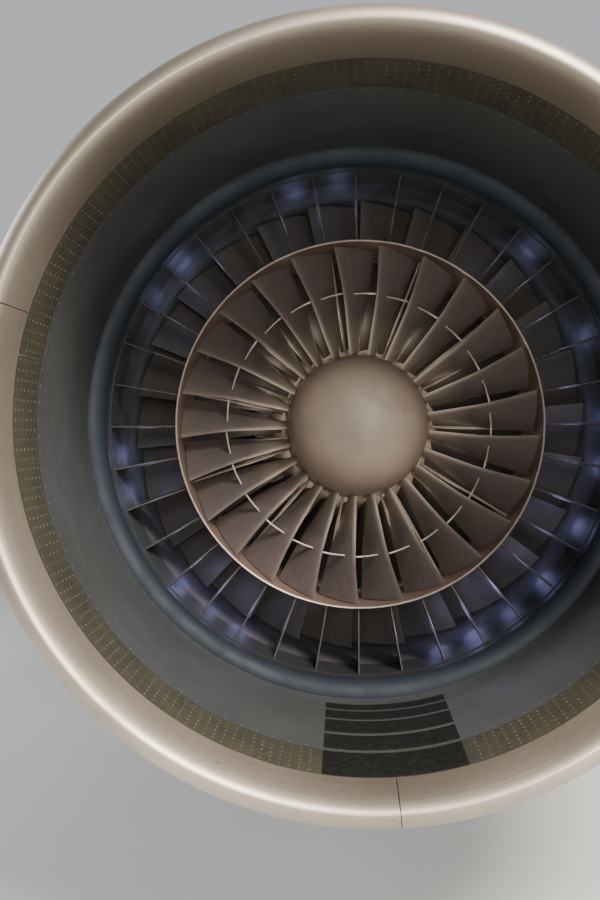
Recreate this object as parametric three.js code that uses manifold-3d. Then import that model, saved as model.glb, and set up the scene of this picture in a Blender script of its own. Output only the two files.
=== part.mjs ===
// A large high-bypass turbofan engine in its nacelle, with a one-and-a-half-stage fan.
// Millimetres. The engine's axis is parallel to Y: the air goes in at the low Y end and out at the high one.
// Stations are distances aft of the intake's foremost edge, and radii are measured from the engine's axis.
import * as THREE from "three";
import { mergeVertices } from "three/addons/utils/BufferGeometryUtils.js";
import Module from "manifold-3d";

const wasm = await Module();
wasm.setup();

// Driving dimensions
const HIGHLIGHT_R = 1260;
const THROAT_R = 1215;
const FAN_CASE_R = 1232;
const SPLITTER_R = 893;
const HUB_R = 345;
const CORE_BORE_R = 80.9;
const SHAFT_R = 80.2;
const ENGINE_LENGTH = 7925;
const VANES = 36;
const HALF_STAGE_BLADES = 25;
const FULL_STAGE_BLADES = 26;
const TURBINE_BLADES = 24;
const FRAME_STRUTS = 8;

// Stations
const LIP_REAR = 300;
const BAND_FRONT = 170;
const BAND_REAR = 385;
const BARREL_REAR = 1090;
const INLET_REAR = 1160;
const CASE_FRONT = 1165;
const CASE_REAR = 2300;
const COWL_REAR = 2558;
const SLEEVE_FRONT = 2565;
const DUCT_REAR = 4300;
const CORE_FAIRING_REAR = 4823;
const CORE_DOOR_FRONT = 4830;
const CORE_DOOR_REAR = 5640;
const TURBINE_CASE_FRONT = 5440;
const REAR_FRAME_FRONT = 5700;
const REAR_FRAME_REAR = 5900;
const NOZZLE_FRONT = 5650;
const NOZZLE_REAR = 7000;

// Gaps
const SEAT = 0.3;
const PANEL_GAP = 7;
const HINGE_GAP = 0.5;

// The pylon stub, whose flat top is the part's origin
const PYLON_HALF_WIDTH = 175;
const PYLON_TOP = 1720;
const MOUNT_STATION = 3550;
const DOOR_EDGE = PYLON_HALF_WIDTH + PANEL_GAP;
const PYLON_FRONT_FLOOR = 1290;

// How many flats a turned surface has: round the nacelle and the fan, and round the core
const ROUND = 36;
const CORE_ROUND = 24;

const degrees = THREE.MathUtils.degToRad;

// A closed triangle mesh as a solid, with its doubled corners merged and its faces turned outwards.
function solidOf(geometry) {
  const loose = geometry.index ? geometry.toNonIndexed() : geometry;
  const bare = new THREE.BufferGeometry().setAttribute("position", loose.getAttribute("position"));
  const merged = mergeVertices(bare, 1e-3);
  const points = merged.getAttribute("position").array;
  const index = merged.index.array;
  const corner = (k) => new THREE.Vector3().fromArray(points, 3 * k);
  const kept = [];
  let volume = 0;
  for (let i = 0; i < index.length; i += 3) {
    const [a, b, c] = [index[i], index[i + 1], index[i + 2]];
    if (a === b || b === c || c === a) continue;
    kept.push([a, b, c]);
    volume += corner(a).dot(corner(b).cross(corner(c)));
  }
  const outward = volume < 0 ? kept.map(([a, b, c]) => [a, c, b]) : kept;
  const triVerts = new Uint32Array(outward.flat());
  return new wasm.Manifold(new wasm.Mesh({ numProp: 3, vertProperties: points, triVerts }));
}

// A solid as a geometry that a mesh can show.
function geometryOf(solid) {
  const { vertProperties, triVerts } = solid.asOriginal().simplify(0.05).getMesh();
  const geometry = new THREE.BufferGeometry();
  geometry.setAttribute("position", new THREE.BufferAttribute(vertProperties, 3));
  geometry.setIndex(new THREE.BufferAttribute(triVerts, 1));
  geometry.computeVertexNormals();
  return geometry;
}

const joined = (solids) => wasm.Manifold.union(solids);

// A closed outline of [station, radius] rows, turned about the engine's axis.
function revolve(outline, segments = ROUND, phase = 0) {
  const points = outline.map(([station, radius]) => new THREE.Vector2(radius, station));
  const first = points[0];
  const last = points[points.length - 1];
  if (first.x > 0 || last.x > 0) points.push(first.clone());
  return solidOf(new THREE.LatheGeometry(points, segments).rotateY(degrees(phase)));
}

// A closed outline of [x, z] rows, drawn out from one station to another.
function prism(outline, from, to) {
  const shape = new THREE.Shape(outline.map(([x, z]) => new THREE.Vector2(x, z)));
  const geometry = new THREE.ExtrudeGeometry(shape, { depth: to - from, bevelEnabled: false });
  return solidOf(geometry.rotateX(Math.PI / 2).translate(0, to, 0));
}

// A box from one corner to the other.
function box([x0, y0, z0], [x1, y1, z1]) {
  const geometry = new THREE.BoxGeometry(x1 - x0, y1 - y0, z1 - z0);
  return solidOf(geometry.translate((x0 + x1) / 2, (y0 + y1) / 2, (z0 + z1) / 2));
}

// A round bar between two points.
function bar(start, end, radius, sides = 8) {
  const from = new THREE.Vector3(...start);
  const along = new THREE.Vector3(...end).sub(from);
  const turn = new THREE.Quaternion().setFromUnitVectors(new THREE.Vector3(0, 1, 0), along.clone().normalize());
  const geometry = new THREE.CylinderGeometry(radius, radius, along.length(), sides);
  return solidOf(geometry.applyQuaternion(turn).translate(...from.addScaledVector(along, 0.5)));
}

// One half of a shell: side is 1 or -1, and the edges stand at these distances from the middle plane.
function halfOf(solid, side, topEdge, bottomEdge) {
  const far = 3000;
  const outline = [[topEdge, far], [far, far], [far, -far], [bottomEdge, -far], [bottomEdge, 0], [topEdge, 0]];
  return solid.intersect(prism(outline.map(([x, z]) => [side * x, z]), -100, ENGINE_LENGTH));
}

// The part of a shell between two angles, measured from the top towards +X.
function sectorOf(solid, from, to) {
  const far = 3000;
  const steps = Math.ceil((to - from) / 30);
  const outline = [[0, 0]];
  for (let i = 0; i <= steps; i++) {
    const angle = degrees(from + ((to - from) * i) / steps);
    outline.push([far * Math.sin(angle), far * Math.cos(angle)]);
  }
  return solid.intersect(prism(outline, -100, ENGINE_LENGTH));
}

// A quarter of an ellipse about (station, radius), from one angle to another, as outline rows.
function ellipse(station, radius, along, across, from, to, steps) {
  const rows = [];
  for (let i = 0; i <= steps; i++) {
    const angle = degrees(from + ((to - from) * i) / steps);
    rows.push([station - along * Math.cos(angle), radius + across * Math.sin(angle)]);
  }
  return rows;
}

// A blade's cross-section on a chord of length 1: 0 is its leading edge, and thickness runs from -0.5 to 0.5.
const BLADE_SECTION = [[0, 0], [0.4, 0.5], [1, 0], [0.4, -0.5]];
const VANE_SECTION = [[0, 0], [0.3, 0.5], [1, 0], [0.3, -0.5]];

// A blade at the top of the disc. Each row: radius, station and sideways place of the leading edge,
// the same of the trailing edge, thickness and camber.
function blade(rows, section = BLADE_SECTION) {
  const shape = new THREE.Shape(section.map(([u, v]) => new THREE.Vector2(u, v)));
  const steps = rows.length - 1;
  const geometry = new THREE.ExtrudeGeometry(shape, { depth: 1, steps, bevelEnabled: false });
  const place = geometry.getAttribute("position");
  for (let i = 0; i < place.count; i++) {
    const u = place.getX(i);
    const row = rows[Math.round(place.getZ(i) * steps)];
    const run = row.trailStation - row.leadStation;
    const rise = row.trailSide - row.leadSide;
    const chord = Math.hypot(run, rise);
    const off = place.getY(i) * row.thick + 4 * row.camber * u * (1 - u);
    const station = row.leadStation + u * run - (off * rise) / chord;
    const side = row.leadSide + u * rise + (off * run) / chord;
    const angle = side / row.radius;
    place.setXYZ(i, row.radius * Math.sin(angle), station, row.radius * Math.cos(angle));
  }
  return geometry;
}

// Copies of a geometry, evenly spaced round the engine's axis.
function around(geometry, count, phase = 0) {
  const copies = [];
  for (let i = 0; i < count; i++) {
    copies.push(solidOf(geometry.clone().rotateY(degrees(phase + (360 * i) / count))));
  }
  return copies;
}

// A straight vane at the top of the ring, between two radii. Its lean is how far the trailing edge stands aside.
function vane(inner, outer, lead, trail, thick, lean = 0) {
  const outline = VANE_SECTION.map(([u, v]) => new THREE.Vector2(v * thick + u * lean, lead + u * (trail - lead)));
  const geometry = new THREE.ExtrudeGeometry(new THREE.Shape(outline), { depth: outer - inner, bevelEnabled: false });
  return geometry.translate(0, 0, inner);
}

// The intake's bare metal lip, in three panels. Seams are angles from the top towards +X.
const LIP_SEAMS = { right: 67, bottom: 180, left: 293.5 };
const LIP_SEAM_GAP = 0.12;
const LIP_PANELS = [
  { name: "intake_lip_right", from: LIP_SEAMS.right, to: LIP_SEAMS.bottom },
  { name: "intake_lip_left", from: LIP_SEAMS.bottom, to: LIP_SEAMS.left },
  { name: "intake_lip_upper", from: LIP_SEAMS.left, to: LIP_SEAMS.right + 360 },
];
const LIP_INNER_DEPTH = 45;
const LIP_OUTER_DEPTH = 120;
const LIP_WALL = 27;
const COWL_OUTER_R = { lipRear: 1380, forward: 1412, inletRear: 1440 };

function intakeLips() {
  const outline = [
    ...ellipse(BAND_FRONT, HIGHLIGHT_R, BAND_FRONT, LIP_INNER_DEPTH, -90, 0, 4),
    ...ellipse(LIP_REAR, HIGHLIGHT_R, LIP_REAR, LIP_OUTER_DEPTH, 12, 90, 4),
    [LIP_REAR, COWL_OUTER_R.lipRear - LIP_WALL],
    [BAND_FRONT, THROAT_R + LIP_WALL],
  ];
  const ring = revolve(outline);
  return LIP_PANELS.map(({ name, from, to }) => ({
    name,
    solid: sectorOf(ring, from + LIP_SEAM_GAP / 2, to - LIP_SEAM_GAP / 2),
    material: "bare_metal",
  }));
}

function intakeBand() {
  const wall = 20;
  return revolve([
    [BAND_FRONT + SEAT, THROAT_R],
    [BAND_REAR, THROAT_R + 4],
    [BAND_REAR, THROAT_R + 4 + wall],
    [BAND_FRONT + SEAT, THROAT_R + wall],
  ]);
}

const BARREL_REAR_R = 1272;
const BULKHEAD_R = 1417;

function intakeBarrel() {
  const wall = 20;
  const bulkhead = 20;
  return revolve([
    [BAND_REAR + SEAT, THROAT_R + 4],
    [700, 1232],
    [BARREL_REAR, BARREL_REAR_R],
    [BARREL_REAR, BULKHEAD_R],
    [BARREL_REAR - bulkhead, BULKHEAD_R],
    [BARREL_REAR - bulkhead, BARREL_REAR_R + wall],
    [700, 1232 + wall],
    [BAND_REAR + SEAT, THROAT_R + 4 + wall],
  ]);
}

function intakeSkin() {
  const wall = 18;
  return revolve([
    [LIP_REAR + SEAT, COWL_OUTER_R.lipRear],
    [600, COWL_OUTER_R.forward],
    [INLET_REAR, COWL_OUTER_R.inletRear],
    [INLET_REAR, COWL_OUTER_R.inletRear - wall],
    [600, COWL_OUTER_R.forward - wall],
    [LIP_REAR + SEAT, COWL_OUTER_R.lipRear - wall - 9],
  ]);
}

function caseFrontRing() {
  const innerR = 1205;
  const outerR = 1300;
  const depth = CASE_FRONT - BARREL_REAR - SEAT;
  return revolve([
    ...ellipse(CASE_FRONT, BARREL_REAR_R, depth, BARREL_REAR_R - innerR, 0, -90, 4),
    [CASE_FRONT, outerR],
    [BARREL_REAR + SEAT, outerR],
  ]);
}

const CASE_FLANGE_R = 1300;

function fanCase() {
  const wall = 28;
  const flange = 24;
  const outer = FAN_CASE_R + wall;
  return revolve([
    [CASE_FRONT + SEAT, FAN_CASE_R],
    [CASE_REAR, FAN_CASE_R],
    [CASE_REAR, CASE_FLANGE_R],
    [CASE_REAR - flange, CASE_FLANGE_R],
    [CASE_REAR - flange, outer],
    [CASE_FRONT + SEAT, outer],
  ]);
}

// The stationary frame: vanes outside and inside the splitter ring, which shrouds the half stage.
function frontVaneFrame() {
  const rim = { front: 1298, rear: 1560, inner: FAN_CASE_R - 8, outer: FAN_CASE_R - 0.4 };
  const outerRim = revolve([
    [rim.front, rim.inner],
    [rim.rear, rim.inner],
    [rim.rear, rim.outer],
    [rim.front, rim.outer],
  ]);
  const splitter = revolve([
    [1290, SPLITTER_R + 8],
    [1320, SPLITTER_R],
    [1660, SPLITTER_R],
    [1660, SPLITTER_R + 24],
    [1306, SPLITTER_R + 18],
  ]);
  const innerRing = revolve([[1500, 362], [1640, 372], [1640, 384], [1500, 376]]);
  const phase = 180 / VANES;
  const outerVanes = around(vane(SPLITTER_R + 10, FAN_CASE_R - 6, 1305, 1540, 14), VANES, phase);
  const innerVanes = around(vane(370, SPLITTER_R + 6, 1500, 1640, 14), VANES, 6.4);
  return joined([outerRim, splitter, innerRing, ...outerVanes, ...innerVanes]);
}

function spinner() {
  const rear = 1309;
  const length = 300;
  const rows = ellipse(rear, 0, length, HUB_R, 0, 90, 6);
  return revolve([...rows, [rear, 0]]);
}

// The half stage: short blades inside the splitter ring, with a part-span shroud.
const HALF_BLADE = [
  { radius: 335, leadStation: 1312, leadSide: -30, trailStation: 1478, trailSide: -5, thick: 20, camber: 16 },
  { radius: 655, leadStation: 1334, leadSide: -56, trailStation: 1476, trailSide: 92, thick: 11, camber: 10 },
  { radius: 884, leadStation: 1345, leadSide: -95, trailStation: 1478, trailSide: 130, thick: 7, camber: 6 },
];
const HALF_STAGE_PHASE = 3.9;
const HALF_SHROUD = { radius: 655, thick: 10, front: 1350, rear: 1400 };

function halfStageRotor() {
  const hub = revolve([
    [1309.3, 0],
    [1309.3, HUB_R],
    [1490, 352],
    [1490, 330],
    [1651, 330],
    [1651, 0],
  ], HALF_STAGE_BLADES, HALF_STAGE_PHASE + 180 / HALF_STAGE_BLADES);
  const shroud = revolve([
    [HALF_SHROUD.front, HALF_SHROUD.radius - HALF_SHROUD.thick / 2],
    [HALF_SHROUD.rear, HALF_SHROUD.radius - HALF_SHROUD.thick / 2],
    [HALF_SHROUD.rear, HALF_SHROUD.radius + HALF_SHROUD.thick / 2],
    [HALF_SHROUD.front, HALF_SHROUD.radius + HALF_SHROUD.thick / 2],
  ], HALF_STAGE_BLADES, HALF_STAGE_PHASE + 180 / HALF_STAGE_BLADES);
  return joined([hub, shroud, ...around(blade(HALF_BLADE), HALF_STAGE_BLADES, HALF_STAGE_PHASE)]);
}

// The full stage: blades from the hub to the fan case.
const FULL_BLADE = [
  { radius: 395, leadStation: 1690, leadSide: -40, trailStation: 1935, trailSide: -5, thick: 34, camber: 26 },
  { radius: 905, leadStation: 1712, leadSide: -118, trailStation: 1922, trailSide: 145, thick: 15, camber: 12 },
  { radius: 1221, leadStation: 1735, leadSide: -158, trailStation: 1905, trailSide: 190, thick: 9, camber: 7 },
];

function fullStageRotor() {
  const hub = revolve([
    [1651.3, 0],
    [1651.3, 385],
    [1680, 400],
    [1955, 505],
    [1955, 300],
    [1970, 120],
    [1970, 0],
  ], FULL_STAGE_BLADES, 180 / FULL_STAGE_BLADES);
  return joined([hub, ...around(blade(FULL_BLADE), FULL_STAGE_BLADES)]);
}

// The bypass duct's outlet vanes, the splitter between duct and core, and the struts of the core's intake.
const CORE_HUB_R = 500;

function outletVaneFrame() {
  const outerRim = revolve([
    [2150, FAN_CASE_R - 12],
    [2296, FAN_CASE_R - 12],
    [2296, FAN_CASE_R - 0.4],
    [2150, FAN_CASE_R - 0.4],
  ]);
  const fairing = revolve([
    [2050, 690],
    [2100, 708],
    [2300, 765],
    [2300, 655],
    [2100, 674],
  ], CORE_ROUND);
  const hubRing = revolve([
    [2100, CORE_HUB_R + 0.4],
    [2290, CORE_HUB_R + 0.4],
    [2290, CORE_HUB_R + 14],
    [2100, CORE_HUB_R + 14],
  ], CORE_ROUND);
  const phase = 180 / VANES;
  const outlets = around(vane(735, FAN_CASE_R - 6, 2165, 2285, 14, 22), VANES, phase);
  const struts = around(vane(CORE_HUB_R + 6, 680, 2120, 2280, 34), FRAME_STRUTS, 22.5);
  return joined([outerRim, fairing, hubRing, ...outlets, ...struts]);
}

// The core engine as one plain block: compressor, combustor and turbine casings round a bore for the shaft.
function coreBlock() {
  const land = 60;
  return revolve([
    [1980, CORE_BORE_R + 14],
    [1980, CORE_HUB_R],
    [2300, CORE_HUB_R],
    [2300, 635],
    [2900, 560],
    [3900, 470],
    [4300, 545],
    [4800, 545],
    [TURBINE_CASE_FRONT, 600],
    [TURBINE_CASE_FRONT, CORE_BORE_R],
    [TURBINE_CASE_FRONT - land, CORE_BORE_R],
    [TURBINE_CASE_FRONT - land, CORE_BORE_R + 14],
    [2400, CORE_BORE_R + 14],
    [2400, CORE_BORE_R],
    [2400 - land, CORE_BORE_R],
    [2400 - land, CORE_BORE_R + 14],
  ], CORE_ROUND);
}

function lowPressureShaft() {
  return revolve([[1970.3, 0], [1970.3, SHAFT_R], [5479, SHAFT_R], [5479, 0]], CORE_ROUND);
}

const TURBINE_TIP_R = 585;

function turbineRotor() {
  const disc = revolve([
    [5479.3, 0],
    [5479.3, 180],
    [5500, 330],
    [5600, 330],
    [5620, 180],
    [5620, 0],
  ], TURBINE_BLADES, 180 / TURBINE_BLADES);
  const rows = [
    { radius: 322, leadStation: 5505, leadSide: -18, trailStation: 5595, trailSide: 18, thick: 12, camber: -12 },
    { radius: TURBINE_TIP_R, leadStation: 5510, leadSide: -34, trailStation: 5590, trailSide: 34, thick: 7, camber: -6 },
  ];
  return joined([disc, ...around(blade(rows, VANE_SECTION), TURBINE_BLADES)]);
}

function turbineCase() {
  const inner = TURBINE_TIP_R + 9;
  return revolve([
    [TURBINE_CASE_FRONT + SEAT, inner],
    [REAR_FRAME_FRONT, inner],
    [REAR_FRAME_FRONT, inner + 22],
    [TURBINE_CASE_FRONT + SEAT, inner + 22],
  ], CORE_ROUND);
}

const PLUG_R = 330;

function turbineRearFrame() {
  const inner = TURBINE_TIP_R + 9;
  const ring = revolve([
    [REAR_FRAME_FRONT + SEAT, inner],
    [REAR_FRAME_REAR, inner],
    [REAR_FRAME_REAR, inner + 22],
    [REAR_FRAME_FRONT + SEAT, inner + 22],
  ], CORE_ROUND);
  const hub = revolve([
    [REAR_FRAME_FRONT + SEAT, PLUG_R - 25],
    [REAR_FRAME_REAR, PLUG_R - 25],
    [REAR_FRAME_REAR, PLUG_R],
    [REAR_FRAME_FRONT + SEAT, PLUG_R],
  ], CORE_ROUND);
  const struts = around(vane(PLUG_R - 12, inner + 10, 5720, 5885, 32), FRAME_STRUTS, 22.5);
  return joined([ring, hub, ...struts]);
}

function exhaustPlug() {
  return revolve([
    [REAR_FRAME_REAR + SEAT, 0],
    [REAR_FRAME_REAR + SEAT, PLUG_R],
    [6300, 338],
    [6700, 300],
    [7250, 190],
    [7750, 78],
    [ENGINE_LENGTH, 0],
  ], CORE_ROUND);
}

function exhaustNozzle() {
  const seatR = TURBINE_TIP_R + 31.4;
  return revolve([
    [NOZZLE_FRONT, 642],
    [6100, 615],
    [6600, 560],
    [NOZZLE_REAR, 505],
    [NOZZLE_REAR, 493],
    [6100, 598],
    [REAR_FRAME_REAR + SEAT, 600],
    [REAR_FRAME_REAR + SEAT, seatR],
    [NOZZLE_FRONT, seatR],
  ], CORE_ROUND);
}

// The bypass duct's inner wall, whose outline the pylon and the lower beam also stand on.
const INNER_WALL = [[CASE_REAR + SEAT, 765], [2600, 830], [3300, 868], [DUCT_REAR, 815]];
const CORE_SKIN = [[DUCT_REAR + SEAT, 815], [CORE_FAIRING_REAR, 770]];
const CORE_DOOR_SKIN = [[CORE_DOOR_FRONT, 769], [5250, 716], [CORE_DOOR_REAR, 643]];
const SKIN_WALL = 16;

// A skin of even depth under an outline.
const shell = (rows, wall, segments) =>
  revolve([...rows, ...rows.map(([station, radius]) => [station, radius - wall]).reverse()], segments);

function ductInnerWall() {
  return shell(INNER_WALL, SKIN_WALL, CORE_ROUND);
}

function coreFairing() {
  return shell(CORE_SKIN, SKIN_WALL, CORE_ROUND);
}

// The fixed duct ring behind the fan case, whose box-shaped rear carries the cascades.
const TORQUE_BOX_REAR = 2598;

function ductRing() {
  return revolve([
    [CASE_REAR + SEAT, FAN_CASE_R],
    [TORQUE_BOX_REAR, FAN_CASE_R],
    [TORQUE_BOX_REAR, 1428],
    [2574, 1428],
    [2574, FAN_CASE_R + 18],
    [CASE_REAR + SEAT + 24, FAN_CASE_R + 18],
    [CASE_REAR + SEAT + 24, CASE_FLANGE_R],
    [CASE_REAR + SEAT, CASE_FLANGE_R],
  ]);
}

// The reverser's cascades: rows of turning vanes between two end rails, on one half of the duct.
const CASCADE_REAR = 3150;
const CASCADE_ROWS = 3;

function cascade(side) {
  const innerR = 1262;
  const outerR = 1398;
  const rail = 26;
  const pitch = (CASCADE_REAR - TORQUE_BOX_REAR - SEAT - rail) / CASCADE_ROWS;
  const rings = [];
  for (let i = 0; i <= CASCADE_ROWS; i++) {
    const front = TORQUE_BOX_REAR + SEAT + i * pitch;
    const outline = [[front, innerR], [front + rail, innerR], [front + rail, outerR], [front, outerR]];
    rings.push(halfOf(revolve(outline, CORE_ROUND), side, 262, 120));
  }
  const spars = [14, 90, 172].map((angle) => {
    const spar = revolve([
      [TORQUE_BOX_REAR + SEAT, innerR + 20],
      [CASCADE_REAR, innerR + 20],
      [CASCADE_REAR, outerR - 20],
      [TORQUE_BOX_REAR + SEAT, outerR - 20],
    ], CORE_ROUND);
    const middle = side > 0 ? angle : 360 - angle;
    return sectorOf(spar, middle - 0.6, middle + 0.6);
  });
  return joined([...rings, ...spars.map((spar) => halfOf(spar, side, 262, 120))]);
}

// The reverser's sliding sleeve: outer skin and stowed inner wall, joined behind the cascades.
const SLEEVE_TRAVEL = 500;
const SLEEVE_CAVITY_REAR = 3165;
const KEEL_HALF_WIDTH = 60;
const TRACK = { z: 1275, half: 10, reach: 25, front: 2612, rear: 3985 };

function sleeve(side) {
  const whole = revolve([
    [SLEEVE_FRONT, 1466],
    [3000, 1462],
    [3500, 1424],
    [3950, 1326],
    [DUCT_REAR, 1186],
    [DUCT_REAR, 1168],
    [3950, 1216],
    [3600, 1236],
    [SLEEVE_CAVITY_REAR, FAN_CASE_R],
    [2606, FAN_CASE_R],
    [2606, FAN_CASE_R + 14],
    [SLEEVE_CAVITY_REAR, FAN_CASE_R + 14],
    [SLEEVE_CAVITY_REAR, 1420],
    [2700, 1440],
    [SLEEVE_FRONT, 1444],
  ]);
  const half = halfOf(whole, side, DOOR_EDGE, KEEL_HALF_WIDTH + PANEL_GAP);
  const slack = 0.5;
  const reach = TRACK.reach + 6;
  const grooves = [
    { edge: PYLON_HALF_WIDTH, z: TRACK.z },
    { edge: KEEL_HALF_WIDTH, z: -TRACK.z },
  ].map(({ edge, z }) => {
    const xs = [side * (edge - 5), side * (edge + reach)].sort((a, b) => a - b);
    const half = TRACK.half + slack;
    return box([xs[0], SLEEVE_CAVITY_REAR - 1000, z - half], [xs[1], TRACK.rear + 6, z + half]);
  });
  return half.subtract(joined(grooves));
}

function tracks(edge, z) {
  return [-1, 1].map((side) => {
    const xs = [side * (edge - 5), side * (edge + TRACK.reach)].sort((a, b) => a - b);
    return box([xs[0], TRACK.front, z - TRACK.half], [xs[1], TRACK.rear, z + TRACK.half]);
  });
}

// The beam between the sleeve's halves at the bottom of the duct.
function lowerBeam() {
  const w = KEEL_HALF_WIDTH;
  const outline = [[-w, -1440], [w, -1440], [w, -700], [-w, -700]];
  const deep = prism(outline, TORQUE_BOX_REAR + SEAT, 4240);
  const under = revolve([[2000, 0], [2000, 1440], [3000, 1440], [3500, 1404], [3950, 1304], [4240, 1186], [4240, 0]]);
  const standing = INNER_WALL.map(([station, radius]) => [station, radius + 0.4]);
  const core = revolve([[CASE_REAR, 0], ...standing, [DUCT_REAR + 1, 0]], CORE_ROUND);
  return joined([deep.intersect(under).subtract(core), ...tracks(w, -TRACK.z)]);
}

// Hinge stations of each door: knuckles on the door each side of a lug on the pylon.
const KNUCKLE_R = 11;
const LUG_HALF = 19.5;
const KNUCKLE_END = 60;
const FAN_DOOR_HINGE = {
  x: DOOR_EDGE + 6,
  line: [[1165, 1450], [2558, 1450]],
  stations: [1700, 2080, 2460],
};
const CORE_DOOR_HINGE = {
  x: DOOR_EDGE + 6,
  line: [[CORE_DOOR_FRONT, 752], [CORE_DOOR_REAR, 622]],
  stations: [4960, 5235, 5510],
};

// A point of the hinge line, a distance along it from where it passes a station.
function onHinge({ x, line }, side, station, along = 0) {
  const [[y0, z0], [y1, z1]] = line;
  const length = Math.hypot(y1 - y0, z1 - z0);
  const step = (station - y0) / (y1 - y0);
  return [side * x, station + (along * (y1 - y0)) / length, z0 + step * (z1 - z0) + (along * (z1 - z0)) / length];
}

function lugs(hinge) {
  const solids = [];
  for (const side of [-1, 1]) {
    for (const station of hinge.stations) {
      const lug = bar(onHinge(hinge, side, station, -LUG_HALF), onHinge(hinge, side, station, LUG_HALF), KNUCKLE_R);
      const [, , z] = onHinge(hinge, side, station);
      const xs = [side * (PYLON_HALF_WIDTH - 8), side * hinge.x].sort((a, b) => a - b);
      const web = 6;
      solids.push(lug, box([xs[0], station - 15, z - web], [xs[1], station + 15, z + web]));
    }
  }
  return solids;
}

// A door of a cowl: half of a shell, notched at the pylon's lugs and with its own knuckles.
function door(whole, side, hinge) {
  const half = halfOf(whole, side, DOOR_EDGE, PANEL_GAP / 2);
  const notches = hinge.stations.map((station) => {
    const [, , z] = onHinge(hinge, side, station);
    const xs = [side * (DOOR_EDGE - 20), side * (hinge.x + KNUCKLE_R + 7)].sort((a, b) => a - b);
    return box([xs[0], station - 30, z - 80], [xs[1], station + 30, z + 40]);
  });
  const knuckles = hinge.stations.flatMap((station) => [-1, 1].map((way) => {
    const near = way * (LUG_HALF + HINGE_GAP);
    return bar(onHinge(hinge, side, station, near), onHinge(hinge, side, station, way * KNUCKLE_END), KNUCKLE_R);
  }));
  return joined([half.subtract(joined(notches)), ...knuckles]);
}

const FAN_DOOR_SKIN = [[INLET_REAR + PANEL_GAP, 1440], [1500, 1460], [2000, 1472], [COWL_REAR, 1467]];
const FAN_DOOR_WALL = 24;

function fanDoor(side) {
  return door(shell(FAN_DOOR_SKIN, FAN_DOOR_WALL, ROUND), side, FAN_DOOR_HINGE);
}

function coreDoor(side) {
  return door(shell(CORE_DOOR_SKIN, SKIN_WALL, CORE_ROUND), side, CORE_DOOR_HINGE);
}

// The pylon stub's flat top lies evenly about the mount, and falls away to its nose and its tail in two curves.
const PYLON_FLAT_HALF = 1350;
const PYLON_NOSE = { station: 1190, full: 1800, foot: 1000, along: 1262 };
const PYLON_TAIL = { station: 6080, full: CORE_DOOR_REAR, foot: 900, floor: 700 };
const PYLON_CORNER = 28;
const PYLON_DEEP = { front: 2320, floor: 560 };
const PYLON_STATIONS = [
  1190, 1200, 1225, 1270, 1340, 1430, 1540, 1660, 1800, 1950, 2080, 2200,
  4900, 5150, 5350, 5500, 5640, 5760, 5860, 5940, 6000, 6045, 6080,
];

function pylonRow(station) {
  const before = MOUNT_STATION - PYLON_FLAT_HALF - station;
  const after = station - MOUNT_STATION - PYLON_FLAT_HALF;
  const tailLength = PYLON_TAIL.station - MOUNT_STATION - PYLON_FLAT_HALF;
  const [foot, share] = before > 0
    ? [PYLON_NOSE.foot, before / PYLON_NOSE.along]
    : [PYLON_TAIL.foot, Math.max(after, 0) / tailLength];
  const narrowing = Math.max(0, PYLON_NOSE.full - station) / (PYLON_NOSE.full - PYLON_NOSE.station);
  const closing = Math.max(0, station - PYLON_TAIL.full) / (PYLON_TAIL.station - PYLON_TAIL.full);
  const width = PYLON_HALF_WIDTH * Math.sqrt(1 - narrowing ** 2) * (1 - closing ** 1.8);
  return {
    station,
    halfWidth: Math.max(width, 5),
    top: foot + (PYLON_TOP - foot) * Math.sqrt(1 - share ** 2),
    floor: PYLON_DEEP.floor + (PYLON_TAIL.floor - PYLON_DEEP.floor) * closing,
  };
}

// A loft through the rows: each cross-section has upright sides, a flat top and rounded top corners.
function pylonBlock() {
  const shape = new THREE.Shape([[-1, 0], [1, 0], [1.2, 1], [1.2, 2], [1, 3], [-1, 3], [-1.2, 2], [-1.2, 1]]
    .map(([u, v]) => new THREE.Vector2(u, v)));
  const rows = PYLON_STATIONS.map(pylonRow);
  const steps = rows.length - 1;
  const geometry = new THREE.ExtrudeGeometry(shape, { depth: 1, steps, bevelEnabled: false });
  const place = geometry.getAttribute("position");
  for (let i = 0; i < place.count; i++) {
    const { station, halfWidth, top, floor } = rows[Math.round(place.getZ(i) * steps)];
    const corner = Math.min(PYLON_CORNER, 0.8 * halfWidth);
    const [inwards, down] = [[0, null], [0, 1], [0.293, 0.293], [1, 0]][Math.round(place.getY(i))];
    const x = Math.sign(place.getX(i)) * (halfWidth - inwards * corner);
    place.setXYZ(i, x, station, down === null ? floor : top - down * corner);
  }
  return solidOf(geometry);
}

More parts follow.
